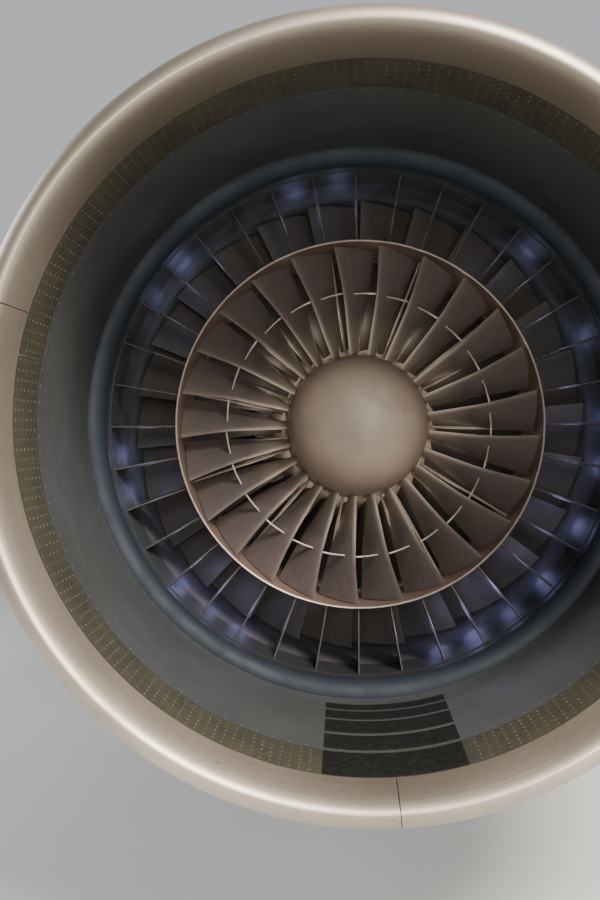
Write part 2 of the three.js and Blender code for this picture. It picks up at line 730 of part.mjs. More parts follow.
// The pylon stub: the block, hollowed to sit on the engine below it, and a panel that closes the cowl beside its nose.
function pylon() {
  const w = PYLON_HALF_WIDTH;
  const shallow = box([-w - 1, 1000, 0], [w + 1, PYLON_DEEP.front, PYLON_FRONT_FLOOR]);
  const slice = box([-w, INLET_REAR, 1300], [w, PYLON_NOSE.full + 60, PYLON_TOP]);
  const saddle = shell(FAN_DOOR_SKIN, FAN_DOOR_WALL, ROUND).intersect(slice);
  const clear = 0.4;
  const grown = (rows) => rows.map(([station, radius]) => [station, radius + clear]);
  const fan = revolve([
    [1000, 0],
    [1000, CASE_FLANGE_R + clear],
    [2572, CASE_FLANGE_R + clear],
    [2572, 1428 + clear],
    [2600, 1428 + clear],
    [2600, 0],
  ]);
  const core = revolve([
    [2500, 0],
    ...grown([[2500, 800], [2600, 830], [3300, 868], [DUCT_REAR, 815]]),
    [CORE_FAIRING_REAR + 4, 770 + clear],
    [CORE_FAIRING_REAR + 4, 700],
    [5400, 650],
    [5646, 650],
    ...grown([[5648, 642], [6100, 615]]),
    [6100, 0],
  ], CORE_ROUND);
  return joined([
    pylonBlock().subtract(shallow).subtract(fan).subtract(core),
    saddle,
    ...tracks(w, TRACK.z),
    ...lugs(FAN_DOOR_HINGE),
    ...lugs(CORE_DOOR_HINGE),
  ]);
}

// The yokes that hang the engine from the pylon, at the fan case and at the turbine.
function frontMount() {
  const block = prism([[-150, 1230], [150, 1230], [110, 1340], [-110, 1340]], 2060, 2240);
  const under = revolve([[2000, 0], [2000, FAN_CASE_R + 28.4], [2275, FAN_CASE_R + 28.4], [2275, 0]]);
  const over = box([-200, 2000, PYLON_FRONT_FLOOR - SEAT], [200, 2300, 1400]);
  return block.subtract(under).subtract(over);
}

function rearMount() {
  const block = prism([[-120, 540], [120, 540], [90, 720], [-90, 720]], 5140, 5320);
  const under = revolve([[5000, 0], [5000, 595], [5440, 600.4], [5440, 0]], CORE_ROUND);
  const over = revolve([[4900, 693], [5400, 649.4], [5400, 1000], [4900, 1000]], CORE_ROUND);
  return block.subtract(under).subtract(over);
}

// What hangs on the fan case under the doors.
function accessoryGearbox() {
  const ring = revolve([[1640, 1261], [2080, 1261], [2080, 1395], [1640, 1395]]);
  return sectorOf(ring, 152, 208);
}

function oilTank() {
  const ring = revolve([[1640, 1261], [2020, 1261], [2020, 1385], [1640, 1385]]);
  return sectorOf(ring, 68, 92);
}

// The finishes: colour, roughness and metalness.
const FINISHES = {
  bare_metal: [0xb3a99a, 0.35, 1],
  band_olive: [0x4a4532, 0.7, 0.1],
  barrel_grey: [0x5b5e5c, 0.55, 0.2],
  ring_blue: [0x46536a, 0.4, 0.3],
  case_grey: [0x8a8d8f, 0.5, 0.6],
  vane_metal: [0x6f675f, 0.4, 0.9],
  blade_titanium: [0x71645c, 0.35, 0.9],
  spinner_grey: [0x8f8374, 0.4, 0.4],
  cowl_paint: [0xc9cccd, 0.45, 0],
  duct_grey: [0x8f9394, 0.5, 0.3],
  hot_metal: [0x7b6a58, 0.45, 0.9],
  block_metal: [0x83847f, 0.5, 0.7],
  pylon_paint: [0xc4c7c8, 0.45, 0],
  cascade_metal: [0x9a9c9b, 0.45, 0.8],
};

const PIECES = [
  ...intakeLips(),
  { name: "intake_acoustic_band", solid: intakeBand(), material: "band_olive" },
  { name: "intake_inner_barrel", solid: intakeBarrel(), material: "barrel_grey" },
  { name: "intake_outer_skin", solid: intakeSkin(), material: "cowl_paint" },
  { name: "fan_case_front_ring", solid: caseFrontRing(), material: "ring_blue" },
  { name: "fan_case", solid: fanCase(), material: "case_grey" },
  { name: "front_vane_frame", solid: frontVaneFrame(), material: "vane_metal" },
  { name: "spinner", solid: spinner(), material: "spinner_grey" },
  { name: "half_stage_rotor", solid: halfStageRotor(), material: "blade_titanium" },
  { name: "full_stage_rotor", solid: fullStageRotor(), material: "blade_titanium" },
  { name: "low_pressure_shaft", solid: lowPressureShaft(), material: "block_metal" },
  { name: "turbine_rotor", solid: turbineRotor(), material: "hot_metal" },
  { name: "outlet_vane_frame", solid: outletVaneFrame(), material: "duct_grey" },
  { name: "duct_ring", solid: ductRing(), material: "case_grey" },
  { name: "duct_inner_wall", solid: ductInnerWall(), material: "duct_grey" },
  { name: "core_fairing", solid: coreFairing(), material: "cowl_paint" },
  { name: "core_engine_block", solid: coreBlock(), material: "block_metal" },
  { name: "turbine_case", solid: turbineCase(), material: "hot_metal" },
  { name: "turbine_rear_frame", solid: turbineRearFrame(), material: "hot_metal" },
  { name: "exhaust_nozzle", solid: exhaustNozzle(), material: "hot_metal" },
  { name: "exhaust_plug", solid: exhaustPlug(), material: "hot_metal" },
  { name: "cascade_left", solid: cascade(-1), material: "cascade_metal" },
  { name: "cascade_right", solid: cascade(1), material: "cascade_metal" },
  { name: "reverser_sleeve_left", solid: sleeve(-1), material: "cowl_paint" },
  { name: "reverser_sleeve_right", solid: sleeve(1), material: "cowl_paint" },
  { name: "lower_beam", solid: lowerBeam(), material: "duct_grey" },
  { name: "fan_cowl_door_left", solid: fanDoor(-1), material: "cowl_paint" },
  { name: "fan_cowl_door_right", solid: fanDoor(1), material: "cowl_paint" },
  { name: "core_cowl_door_left", solid: coreDoor(-1), material: "cowl_paint" },
  { name: "core_cowl_door_right", solid: coreDoor(1), material: "cowl_paint" },
  { name: "pylon_stub", solid: pylon(), material: "pylon_paint" },
  { name: "front_mount_yoke", solid: frontMount(), material: "block_metal" },
  { name: "rear_mount_yoke", solid: rearMount(), material: "block_metal" },
  { name: "accessory_gearbox", solid: accessoryGearbox(), material: "block_metal" },
  { name: "oil_tank", solid: oilTank(), material: "block_metal" },
];

const engine = new THREE.Group();
engine.position.set(0, -MOUNT_STATION, -PYLON_TOP);
for (const { name, solid, material } of PIECES) {
  const [color, roughness, metalness] = FINISHES[material];
  const mesh = new THREE.Mesh(geometryOf(solid), new THREE.MeshStandardMaterial({ color, roughness, metalness }));
  mesh.name = name;
  engine.add(mesh);
}

const part = new THREE.Group();
part.add(engine);
export default part;
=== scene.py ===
"""A large turbofan engine pod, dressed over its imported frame."""

import math
from functools import partial

import bmesh
import bpy
import numpy as np
from mathutils import Euler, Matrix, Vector


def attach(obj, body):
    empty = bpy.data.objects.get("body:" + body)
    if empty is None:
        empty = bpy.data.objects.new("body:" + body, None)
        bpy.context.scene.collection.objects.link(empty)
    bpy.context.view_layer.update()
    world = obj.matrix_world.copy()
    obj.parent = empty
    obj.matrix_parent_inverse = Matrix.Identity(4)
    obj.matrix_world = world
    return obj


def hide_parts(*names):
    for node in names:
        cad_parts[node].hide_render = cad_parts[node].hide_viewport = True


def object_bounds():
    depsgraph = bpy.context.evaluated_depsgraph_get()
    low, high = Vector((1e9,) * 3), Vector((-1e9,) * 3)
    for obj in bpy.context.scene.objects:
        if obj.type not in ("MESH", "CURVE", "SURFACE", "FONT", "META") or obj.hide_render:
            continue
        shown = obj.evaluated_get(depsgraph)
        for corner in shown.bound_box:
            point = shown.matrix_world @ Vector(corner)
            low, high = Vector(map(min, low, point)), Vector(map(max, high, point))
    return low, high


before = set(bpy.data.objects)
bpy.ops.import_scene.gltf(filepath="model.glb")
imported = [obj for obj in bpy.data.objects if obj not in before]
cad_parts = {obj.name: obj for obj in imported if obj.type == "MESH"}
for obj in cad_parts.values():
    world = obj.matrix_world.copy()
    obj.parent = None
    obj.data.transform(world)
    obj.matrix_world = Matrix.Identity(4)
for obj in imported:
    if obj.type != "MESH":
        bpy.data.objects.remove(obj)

bl_info = {
    "name": "Turbofan Engine Pod",
    "version": (1, 0, 0),
    "blender": (4, 5, 0),
    "location": "3D View > Sidebar > Engine Pod",
    "description": "Builds a large turbofan engine pod over its packed frame",
    "category": "Object",
}

# The engine's axis is parallel to Y. Stations are metres aft of the intake's foremost edge.
AXIS_Z = -1.720
FRONT_Y = -3.550
FRAME_BOX = [list(corner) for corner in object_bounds()]
SIDES = ((-1, "left"), (1, "right"))

# The lines of the nacelle and the core, as station and radius
SKIN_LINE = [(0.300, 1.380), (0.600, 1.412), (1.160, 1.440)]
DOOR_LINE = [(1.167, 1.440), (1.500, 1.460), (2.000, 1.472), (2.558, 1.467)]
SLEEVE_LINE = [(2.565, 1.466), (3.000, 1.462), (3.500, 1.424), (3.950, 1.326), (4.300, 1.186)]
SLEEVE_INSIDE = [(4.300, 1.168), (3.950, 1.216), (3.600, 1.236), (3.165, 1.232), (2.606, 1.232)]
DUCT_LINE = [(2.3003, 0.765), (2.600, 0.830), (3.300, 0.868), (4.300, 0.815)]
CORE_LINE = [(4.3003, 0.815), (4.823, 0.770)]
CORE_DOOR_LINE = [(4.830, 0.769), (5.250, 0.716), (5.640, 0.643)]

# How far the edges of the cowls stand from the engine's middle plane, at the pylon and at the bottom
PYLON_EDGE = 0.182
DOOR_GAP = 0.0035
BEAM_EDGE = 0.067
# The gap between two pieces that meet on the same line
SEAM = 0.0003


# Points and outlines


def at(station, radius, angle):
    """A point of the frame, from its station, its radius and its angle from the top towards +X."""
    turn = math.radians(angle)
    return Vector((radius * math.sin(turn), FRONT_Y + station, AXIS_Z + radius * math.cos(turn)))


def outward(angle):
    """The direction away from the axis at an angle."""
    return at(0, 1, angle) - at(0, 0, angle)


def eased(points, steps):
    """A smooth line through the points, with this many steps between each two."""
    pts = np.array(points, float)
    ends = np.vstack([2 * pts[0] - pts[1], pts, 2 * pts[-1] - pts[-2]])
    rows = []
    for k in range(len(pts) - 1):
        a, b, c, d = ends[k : k + 4]
        for t in np.arange(steps) / steps:
            row = 2 * b + (c - a) * t + (2 * a - 5 * b + 4 * c - d) * t**2 + (3 * b - a - 3 * c + d) * t**3
            rows.append(tuple(row / 2))
    return rows + [tuple(pts[-1])]


def radius_at(line, station):
    """The radius of a line of station and radius rows at one station."""
    stations, radii = zip(*line)
    return float(np.interp(station, stations, radii))


def arc(station, radius, along, across, start, end, steps):
    """Part of an ellipse about a point, as rows of station and radius."""
    turns = np.radians(np.linspace(start, end, steps + 1))
    return [(station - along * math.cos(turn), radius + across * math.sin(turn)) for turn in turns]


def rounded(rows, size=0.003, steps=3):
    """A closed outline with its sharp corners rounded off."""
    pts = [np.array(row, float) for row in rows]
    result = []
    for k, point in enumerate(pts):
        before, after = pts[k - 1] - point, pts[(k + 1) % len(pts)] - point
        near, far = np.linalg.norm(before), np.linalg.norm(after)
        bend = math.pi - math.acos(np.clip(before @ after / (near * far), -1, 1))
        if bend < math.radians(25):
            result.append(tuple(point))
            continue
        cut = min(size, 0.45 * near, 0.45 * far)
        start, end = point + before / near * cut, point + after / far * cut
        for t in np.linspace(0, 1, steps + 1):
            result.append(tuple((1 - t) ** 2 * start + 2 * t * (1 - t) * point + t**2 * end))
    return result


def box(front, rear, low, high, size=0.0, steps=2):
    """A rectangular outline between two stations and two radii, with its corners rounded by this size."""
    rows = [(front, low), (rear, low), (rear, high), (front, high)]
    return rounded(rows, size, steps) if size else rows


def wall(line, depth):
    """A closed outline: a line, and the same line this much nearer to the axis."""
    return list(line) + [(station, radius - depth) for station, radius in reversed(line)]


def half_turn(side, first, last):
    """Two angles measured down from the top on one side, as start and end about the axis."""
    return (first, last) if side > 0 else (360 - last, 360 - first)


# Meshes


def loft(rings, closed=False):
    """A mesh over rings of points, with a cap at each end unless it closes on itself."""
    rings = np.array(rings, float)
    count, wide = rings.shape[:2]
    faces = []
    for k in range(count if closed else count - 1):
        a, b = k * wide, (k + 1) % count * wide
        faces += [(a + j, a + (j + 1) % wide, b + (j + 1) % wide, b + j) for j in range(wide)]
    if not closed:
        faces += [tuple(reversed(range(wide))), tuple(range((count - 1) * wide, count * wide))]
    return rings.reshape(-1, 3), faces


def turned(rows, segments=240, start=0.0, end=360.0, edges=None):
    """An outline turned about the axis. edges gives two planes, as side, top edge and bottom edge."""
    stations, radii = np.array(rows, float).T
    if np.sum(stations * np.roll(radii, -1) - np.roll(stations, -1) * radii) <= 0:
        stations, radii = stations[::-1], radii[::-1]
    whole = edges is None and end - start >= 360
    first, last = math.radians(start), math.radians(end)
    if edges:
        side, top, bottom = edges
        first, last = np.arcsin(top / radii), math.pi - np.arcsin(bottom / radii)
        if side < 0:
            first, last = 2 * math.pi - last, 2 * math.pi - first
    share = np.arange(segments if whole else segments + 1)[:, None] / segments
    turn = first + (last - first) * share
    x, z = radii * np.sin(turn), AXIS_Z + radii * np.cos(turn)
    return loft(np.stack([x, np.broadcast_to(FRONT_Y + stations, x.shape), z], axis=-1), whole)


def plate(line, depth, side, top, bottom, columns, notches):
    """Half a shell of even depth between two planes. Each notch has a start, an end and a reach."""
    limits = {station for start, end, _ in notches for station in (start, end)}
    stations = sorted({round(row[0], 5) for row in line} | limits)
    high, wide = len(stations), columns + 1
    verts = []
    for drop in (0.0, depth):
        for station in stations:
            radius = radius_at(line, station) - drop
            first, last = math.asin(notches[0][2] / radius), math.pi - math.asin(bottom / radius)
            turns = [math.asin(top / radius), *np.linspace(first, last, columns)]
            verts += [at(station, radius, math.degrees(side * turn)) for turn in turns]

    def present(i, j):
        if not (0 <= i < high - 1 and 0 <= j < wide - 1):
            return False
        middle = 0.5 * (stations[i] + stations[i + 1])
        return j > 0 or not any(start < middle < end for start, end, _ in notches)

    faces = []
    cells = [(i, j) for i in range(high - 1) for j in range(wide - 1) if present(i, j)]
    for i, j in cells:
        corners = [(i, j), (i, j + 1), (i + 1, j + 1), (i + 1, j)]
        outer = [row * wide + column for row, column in corners]
        inner = [corner + high * wide for corner in outer]
        faces += [tuple(outer), tuple(reversed(inner))]
        for k, cell in enumerate([(i - 1, j), (i, j + 1), (i + 1, j), (i, j - 1)]):
            if not present(*cell):
                after = (k + 1) % 4
                faces.append((outer[after], outer[k], inner[k], inner[after]))
    return np.array(verts, float), faces


def circle(middle, across, up, radius, sides):
    """Points round a middle, in the plane of two directions."""
    turns = [2 * math.pi * k / sides for k in range(sides)]
    return [middle + radius * (across * math.cos(turn) + up * math.sin(turn)) for turn in turns]


def rod(start, end, radius, sides=20):
    """A round bar between two points, with its ends a little rounded."""
    along = (end - start).normalized()
    across = along.orthogonal().normalized()
    soft, reach = 0.15 * radius, (end - start).length
    rings = [(0, radius - soft), (soft, radius), (reach - soft, radius), (reach, radius - soft)]
    third = along.cross(across)
    return loft([circle(start + along * place, across, third, size, sides) for place, size in rings])


def slab(corners, way):
    """A flat plate from its outline and the way that its depth goes."""
    near, way = [Vector(c) for c in corners], Vector(way)
    if (near[1] - near[0]).cross(near[2] - near[1]).dot(way) > 0:
        near.reverse()
    return loft([[c + way for c in near], near])


def tube(points, radius, sides=10):
    """A pipe along a smooth line through the points."""
    line = [Vector(p) for p in eased([tuple(p) for p in points], 6)]
    up = Vector((0.13, 0.29, 0.95))
    rings = []
    for k, point in enumerate(line):
        along = (line[min(k + 1, len(line) - 1)] - line[max(k - 1, 0)]).normalized()
        across = along.cross(up).normalized()
        up = across.cross(along)
        rings.append(circle(point, across, -up, radius, sides))
    return loft(rings)


def hoop(station, radius, size, segments, start, end):
    """A round pipe about the axis, between two angles."""
    turns = np.linspace(0, 2 * math.pi, 11)[:-1]
    outline = [(station + size * math.cos(t), radius + size * math.sin(t)) for t in turns]
    return turned(outline, segments, start, end)


# Pieces

CREASE = math.radians(32)
BEVELLED_ANGLE = math.radians(50)


def placed(name, data):
    """A new object in the scene."""
    thing = bpy.data.objects.new(name, data)
    bpy.context.scene.collection.objects.link(thing)
    return thing


def smooth(mesh):
    """Smooth shading but for the creases."""
    mesh.shade_smooth()
    mesh.set_sharp_from_angle(angle=CREASE)


def solid(name, parts, edge=None, mend=False, bevel=0.0):
    """An object from meshes. mend merges doubles and turns the faces outwards."""
    starts = np.cumsum([0] + [len(points) for points, _ in parts])
    faces = []
    for start, (_, polygons) in zip(starts, parts):
        faces += [tuple(start + k for k in face) for face in polygons]
    mesh = bpy.data.meshes.new(name)
    mesh.from_pydata(np.vstack([points for points, _ in parts]).tolist(), [], faces)
    if edge is not None:
        mesh.attributes.new("edge", "FLOAT", "POINT").data.foreach_set("value", np.array(edge, np.float32))
    if mend:
        bm = bmesh.new()
        bm.from_mesh(mesh)
        bmesh.ops.remove_doubles(bm, verts=bm.verts, dist=1e-6)
        bmesh.ops.dissolve_degenerate(bm, edges=bm.edges, dist=1e-7)
        bmesh.ops.recalc_face_normals(bm, faces=bm.faces)
        if bevel:
            joined = [e for e in bm.edges if len(e.link_faces) == 2]
            sharp = [e for e in joined if e.calc_face_angle() > BEVELLED_ANGLE]
            bmesh.ops.bevel(bm, geom=sharp, offset=bevel, segments=2, affect="EDGES")
        bm.to_mesh(mesh)
        bm.free()
    mesh.validate()
    smooth(mesh)
    return placed(name, mesh)


def fit(thing, body, slot, *nodes):
    """The piece gets its body, and the nodes that it stands for are hidden. slot is not used."""
    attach(thing, body)
    if nodes:
        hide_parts(*nodes)


def coated(thing, coat):
    """The object in one finish."""
    thing.data.materials.clear()
    thing.data.materials.append(shared(finish, coat))
    return thing


def piece(body, slot, coat, name, parts, *nodes, **how):
    """A solid in its finish, on its body."""
    fit(coated(solid(name, parts, **how), coat), body, slot, *nodes)


def ring_piece(body, slot, coat, name, made, count, phase, *nodes, mend=False):
    """Copies of a blade round the axis, as one piece."""
    mesh, edge = made
    thing = solid(name, [mesh], edge, mend)
    values = {"Count": count, "First Angle": phase, "Step": 360.0 / count, "Material": shared(finish, coat)}
    fit(grown(thing, copies_tree, values), body, slot, *nodes)


def heads(body, slot, coat, name, places, radius=0.0042, height=0.0004, sides=6):
    """A fastener's head at each place, given as a point and the way that it faces, as one piece."""
    mesh = bpy.data.meshes.new(name)
    mesh.from_pydata([tuple(point) for point, _ in places], [], [])
    ways = np.array([tuple(way) for _, way in places], np.float32).ravel()
    mesh.attributes.new("facing", "FLOAT_VECTOR", "POINT").data.foreach_set("vector", ways)
    values = {"Head Radius": radius, "Head Height": height, "Sides": sides}
    values["Material"] = shared(finish, coat)
    fit(grown(placed(name, mesh), heads_tree, values), body, slot)


def ring_places(station, radius, count, start=0.0, end=360.0, inward=False):
    """Places evenly round the axis, facing out or in."""
    shift = 0.0 if end - start >= 360 else 0.5
    angles = [start + (end - start) * (k + shift) / count for k in range(count)]
    sign = -1 if inward else 1
    return [(at(station, radius, angle), outward(angle).normalized() * sign) for angle in angles]


def places_round(line, stations, spacing, start=0.0, end=360.0):
    """Places round the engine at each station of a line, on the whole ring or on a half of it."""
    ring = 2 * math.pi if end - start >= 360 else math.pi
    places = []
    for station in stations:
        radius = radius_at(line, station)
        places += ring_places(station, radius, int(ring * radius / spacing), start, end)
    return places


def line_places(line, angle, spacing, start, end):
    """Places along a line of station and radius rows, at one angle."""
    count = max(2, int((end - start) / spacing))
    stations = [start + (end - start) * (k + 0.5) / count for k in range(count)]
    return [(at(station, radius_at(line, station), angle), outward(angle)) for station in stations]


# Blades: rows are radius, then station and sideways place of the leading edge, the same of the
# trailing edge, thickness and camber

SECTION_STEPS = 9


def wing_section():
    """The outline of a blade on a chord of 1, from its trailing edge round the leading edge and back."""
    along = 0.5 * (1 - np.cos(np.linspace(0, math.pi, SECTION_STEPS + 1)))
    half = 0.2969 * np.sqrt(along) + np.polyval((-0.1015, 0.2843, -0.3516, -0.126, 0), along)
    half = 5 * half + 0.04
    return list(zip(along[::-1], half[::-1])) + list(zip(along[1:], -half[1:]))


def blade(rows, spans=18):
    """A blade at the top of the disc, and how near each of its points is to the leading edge."""
    picks = np.round(np.linspace(0, len(rows) - 1, spans + 1) * spans).astype(int)
    table = np.array(eased(rows, spans))[picks]
    rings, edge = [], []
    for radius, lead, lead_side, trail, trail_side, thick, camber in table:
        run, rise = trail - lead, trail_side - lead_side
        chord = math.hypot(run, rise)
        ring = []
        for u, v in wing_section():
            off = v * thick + 4 * camber * u * (1 - u)
            side = lead_side + u * rise + off * run / chord
            ring.append(at(lead + u * run - off * rise / chord, radius, math.degrees(side / radius)))
            edge.append(max(0.0, 1 - u / 0.12))
        rings.append(ring)
    points, faces = loft(rings)
    # The sections run the other way round than a loft's rings do
    return (points, [face[:1] + face[:0:-1] for face in faces]), edge


def straight_vane(inner, outer, lead, trail, thick, lean=0.0):
    """A vane of one section between two radii."""
    rows = [(radius, lead, 0.0, trail, lean * radius / outer, thick, 0.0) for radius in (inner, outer)]
    return blade(rows, 1)


# Node trees

SOCKETS = {int: "Int", float: "Float", tuple: "Vector"}
MADE = {}


def shared(build, *names):
    """A node tree or a material, built the first time that it is asked for."""
    key = (build.__name__, *names)
    if key not in MADE:
        MADE[key] = build(*names)
    return MADE[key]


def add(tree, kind, values=None, out=0, **settings):
    """A node's output, or all if out is None. Each input takes a plain value or another node's output."""
    node = tree.nodes.new(kind)
    for key, value in settings.items():
        setattr(node, key, value)
    for key, value in (values or {}).items():
        if isinstance(value, bpy.types.NodeSocket):
            tree.links.new(value, node.inputs[key])
        else:
            node.inputs[key].default_value = value
    return node.outputs if out is None else node.outputs[out]


def maths(tree, operation, *values, clamp=False):
    """The output of a node that does one sum."""
    return add(tree, "ShaderNodeMath", dict(enumerate(values)), operation=operation, use_clamp=clamp)


def new_tree(name, kind, inputs, outputs):
    """A node tree and its two end nodes. inputs gives each input's first value, or else its kind."""
    tree = bpy.data.node_groups.new(name, kind)
    for label, value in inputs.items():
        socket = value if isinstance(value, str) else SOCKETS[type(value)]
        made = tree.interface.new_socket(label, in_out="INPUT", socket_type="NodeSocket" + socket)
        if socket != value:
            made.default_value = value
    for label, socket in outputs.items():
        tree.interface.new_socket(label, in_out="OUTPUT", socket_type="NodeSocket" + socket)
    return tree, add(tree, "NodeGroupInput", out=None), tree.nodes.new("NodeGroupOutput").inputs


def geometry_tree(name, inputs):
    """A tree for copies of a mesh."""
    inputs = {"Geometry": "Geometry", **inputs, "Material": "Material"}
    return new_tree(name, "GeometryNodeTree", inputs, {"Geometry": "Geometry"})


def copied(tree, given, result, **values):
    """The end of a geometry tree: a mesh on each point, made real and given its material."""
    instances = add(tree, "GeometryNodeInstanceOnPoints", values)
    real = add(tree, "GeometryNodeRealizeInstances", {"Geometry": instances})
    coat = add(tree, "GeometryNodeSetMaterial", {"Geometry": real, "Material": given["Material"]})
    tree.links.new(coat, result["Geometry"])
    return tree


def copies_tree():
    """Copies of a mesh, evenly spaced round the engine's axis."""
    inputs = {"Count": 12, "First Angle": 0.0, "Step": 30.0}
    tree, given, result = geometry_tree("Copies Round the Axis", inputs)
    moved = {"Geometry": given["Geometry"], "Translation": (0, 0, -AXIS_Z)}
    centred = add(tree, "GeometryNodeTransform", moved)
    start = {"Count": given["Count"], "Start Location": (0, 0, AXIS_Z), "Offset": (0, 0, 0)}
    points = add(tree, "GeometryNodeMeshLine", start)
    number = add(tree, "GeometryNodeInputIndex")
    turn = maths(tree, "MULTIPLY_ADD", number, given["Step"], given["First Angle"])
    angles = add(tree, "ShaderNodeCombineXYZ", {"Y": maths(tree, "RADIANS", turn)})
    rotation = add(tree, "FunctionNodeEulerToRotation", {0: angles})
    return copied(tree, given, result, Points=points, Instance=centred, Rotation=rotation)


def heads_tree():
    """A fastener's head on each point of a mesh, turned to the point's own direction."""
    inputs = {"Head Radius": 0.004, "Head Height": 0.001, "Sides": 8}
    tree, given, result = geometry_tree("Fastener Heads", inputs)
    tall = maths(tree, "MULTIPLY", given["Head Height"], 2.0)
    sizes = {"Vertices": given["Sides"], "Radius": given["Head Radius"], "Depth": tall}
    head = add(tree, "GeometryNodeMeshCylinder", sizes)
    facing = add(tree, "GeometryNodeInputNamedAttribute", {"Name": "facing"}, data_type="FLOAT_VECTOR")
    turn = add(tree, "FunctionNodeAlignRotationToVector", {"Vector": facing}, axis="Z")
    return copied(tree, given, result, Points=given["Geometry"], Instance=head, Rotation=turn)


def rows_tree():
    """Copies of a mesh in a row along the engine."""
    tree, given, result = geometry_tree("Row Along the Engine", {"Count": 10, "Pitch": 0.05})
    step = add(tree, "ShaderNodeCombineXYZ", {"Y": given["Pitch"]})
    points = add(tree, "GeometryNodeMeshLine", {"Count": given["Count"], "Offset": step})
    return copied(tree, given, result, Points=points, Instance=given["Geometry"])


def grown(thing, build, values):
    """The object's mesh as a shared tree makes it with these inputs, with no modifier left."""
    tree = shared(build)
    modifier = thing.modifiers.new(tree.name, "NODES")
    modifier.node_group = tree
    for item in tree.interface.items_tree:
        if item.in_out == "INPUT" and item.name in values:
            modifier[item.identifier] = values[item.name]
    view = bpy.context.evaluated_depsgraph_get()
    mesh = bpy.data.meshes.new_from_object(thing.evaluated_get(view), depsgraph=view)
    thing.modifiers.remove(modifier)
    mesh.name = thing.name
    thing.data = mesh
    smooth(mesh)
    return thing


# Shader groups, shared by the finishes


def engine_place():
    """Where a point is on the engine: its angle, radius and station, and the surface unrolled."""
    outputs = {"Angle": "Float", "Radius": "Float", "Station": "Float", "Unrolled": "Vector"}
    tree, given, result = new_tree("Place on the Engine", "ShaderNodeTree", {"Vector": "Vector"}, outputs)
    parts = add(tree, "ShaderNodeSeparateXYZ", {0: given["Vector"]}, None)
    high = maths(tree, "SUBTRACT", parts["Z"], AXIS_Z)
    turn = maths(tree, "ARCTAN2", parts["X"], high)
    flat = add(tree, "ShaderNodeCombineXYZ", {"X": parts["X"], "Y": high})
    radius = add(tree, "ShaderNodeVectorMath", {0: flat}, "Value", operation="LENGTH")
    station = maths(tree, "SUBTRACT", parts["Y"], FRONT_Y)
    girth = maths(tree, "MULTIPLY", turn, radius)
    unrolled = add(tree, "ShaderNodeCombineXYZ", {"X": girth, "Y": station, "Z": radius})
    for label, socket in zip(outputs, (maths(tree, "DEGREES", turn), radius, station, unrolled)):
        tree.links.new(socket, result[label])
    return tree


def noise_group(name, inputs, scale, detail, roughness, curve):
    """A mask from noise between two levels, at a place that may be stretched."""
    inputs = {"Vector": "Vector", **inputs, "Low": 0.35, "High": 0.65}
    tree, given, result = new_tree(name, "ShaderNodeTree", inputs, {"Mask": "Float"})
    place = given["Vector"]
    if "Stretch" in inputs:
        place = add(tree, "ShaderNodeVectorMath", {0: place, 1: given["Stretch"]}, operation="MULTIPLY")
    values = {"Vector": place, "Scale": scale or given["Scale"], "Detail": detail, "Roughness": roughness}
    noise = add(tree, "ShaderNodeTexNoise", values)
    levels = {"Value": noise, "From Min": given["Low"], "From Max": given["High"]}
    tree.links.new(add(tree, "ShaderNodeMapRange", levels, interpolation_type=curve), result["Mask"])
    return tree


def mottle():
    """Soft patches."""
    return noise_group("Mottle", {"Scale": 3.0}, None, 4.0, 0.6, "SMOOTHSTEP")


def streaks():
    """Streaks along or round the engine."""
    return noise_group("Streaks", {"Stretch": (1.0, 1.0, 1.0)}, 1.0, 5.0, 0.65, "LINEAR")


def band():
    """A soft-edged band where a value lies between two limits."""
    inputs = {"Value": 0.0, "From": 0.0, "To": 1.0, "Softness": 0.01}
    tree, given, result = new_tree("Band", "ShaderNodeTree", inputs, {"Mask": "Float"})
    masks = []
    for limit, sign in (("From", 1.0), ("To", -1.0)):
        past = maths(tree, "SUBTRACT", given["Value"], given[limit])
        soft = maths(tree, "DIVIDE", maths(tree, "MULTIPLY", past, sign), given["Softness"])
        masks.append(maths(tree, "ADD", soft, 0.5, clamp=True))
    tree.links.new(maths(tree, "MULTIPLY", *masks), result["Mask"])
    return tree


# Finishes

# Each kind of mask: its group, and the inputs that its numbers go to
MASKS = {
    "mottle": (mottle, ("Scale", "Low", "High")),
    "streaks": (streaks, ("Stretch", "Low", "High")),
    "band": (band, ("Value", "From", "To", "Softness")),
}


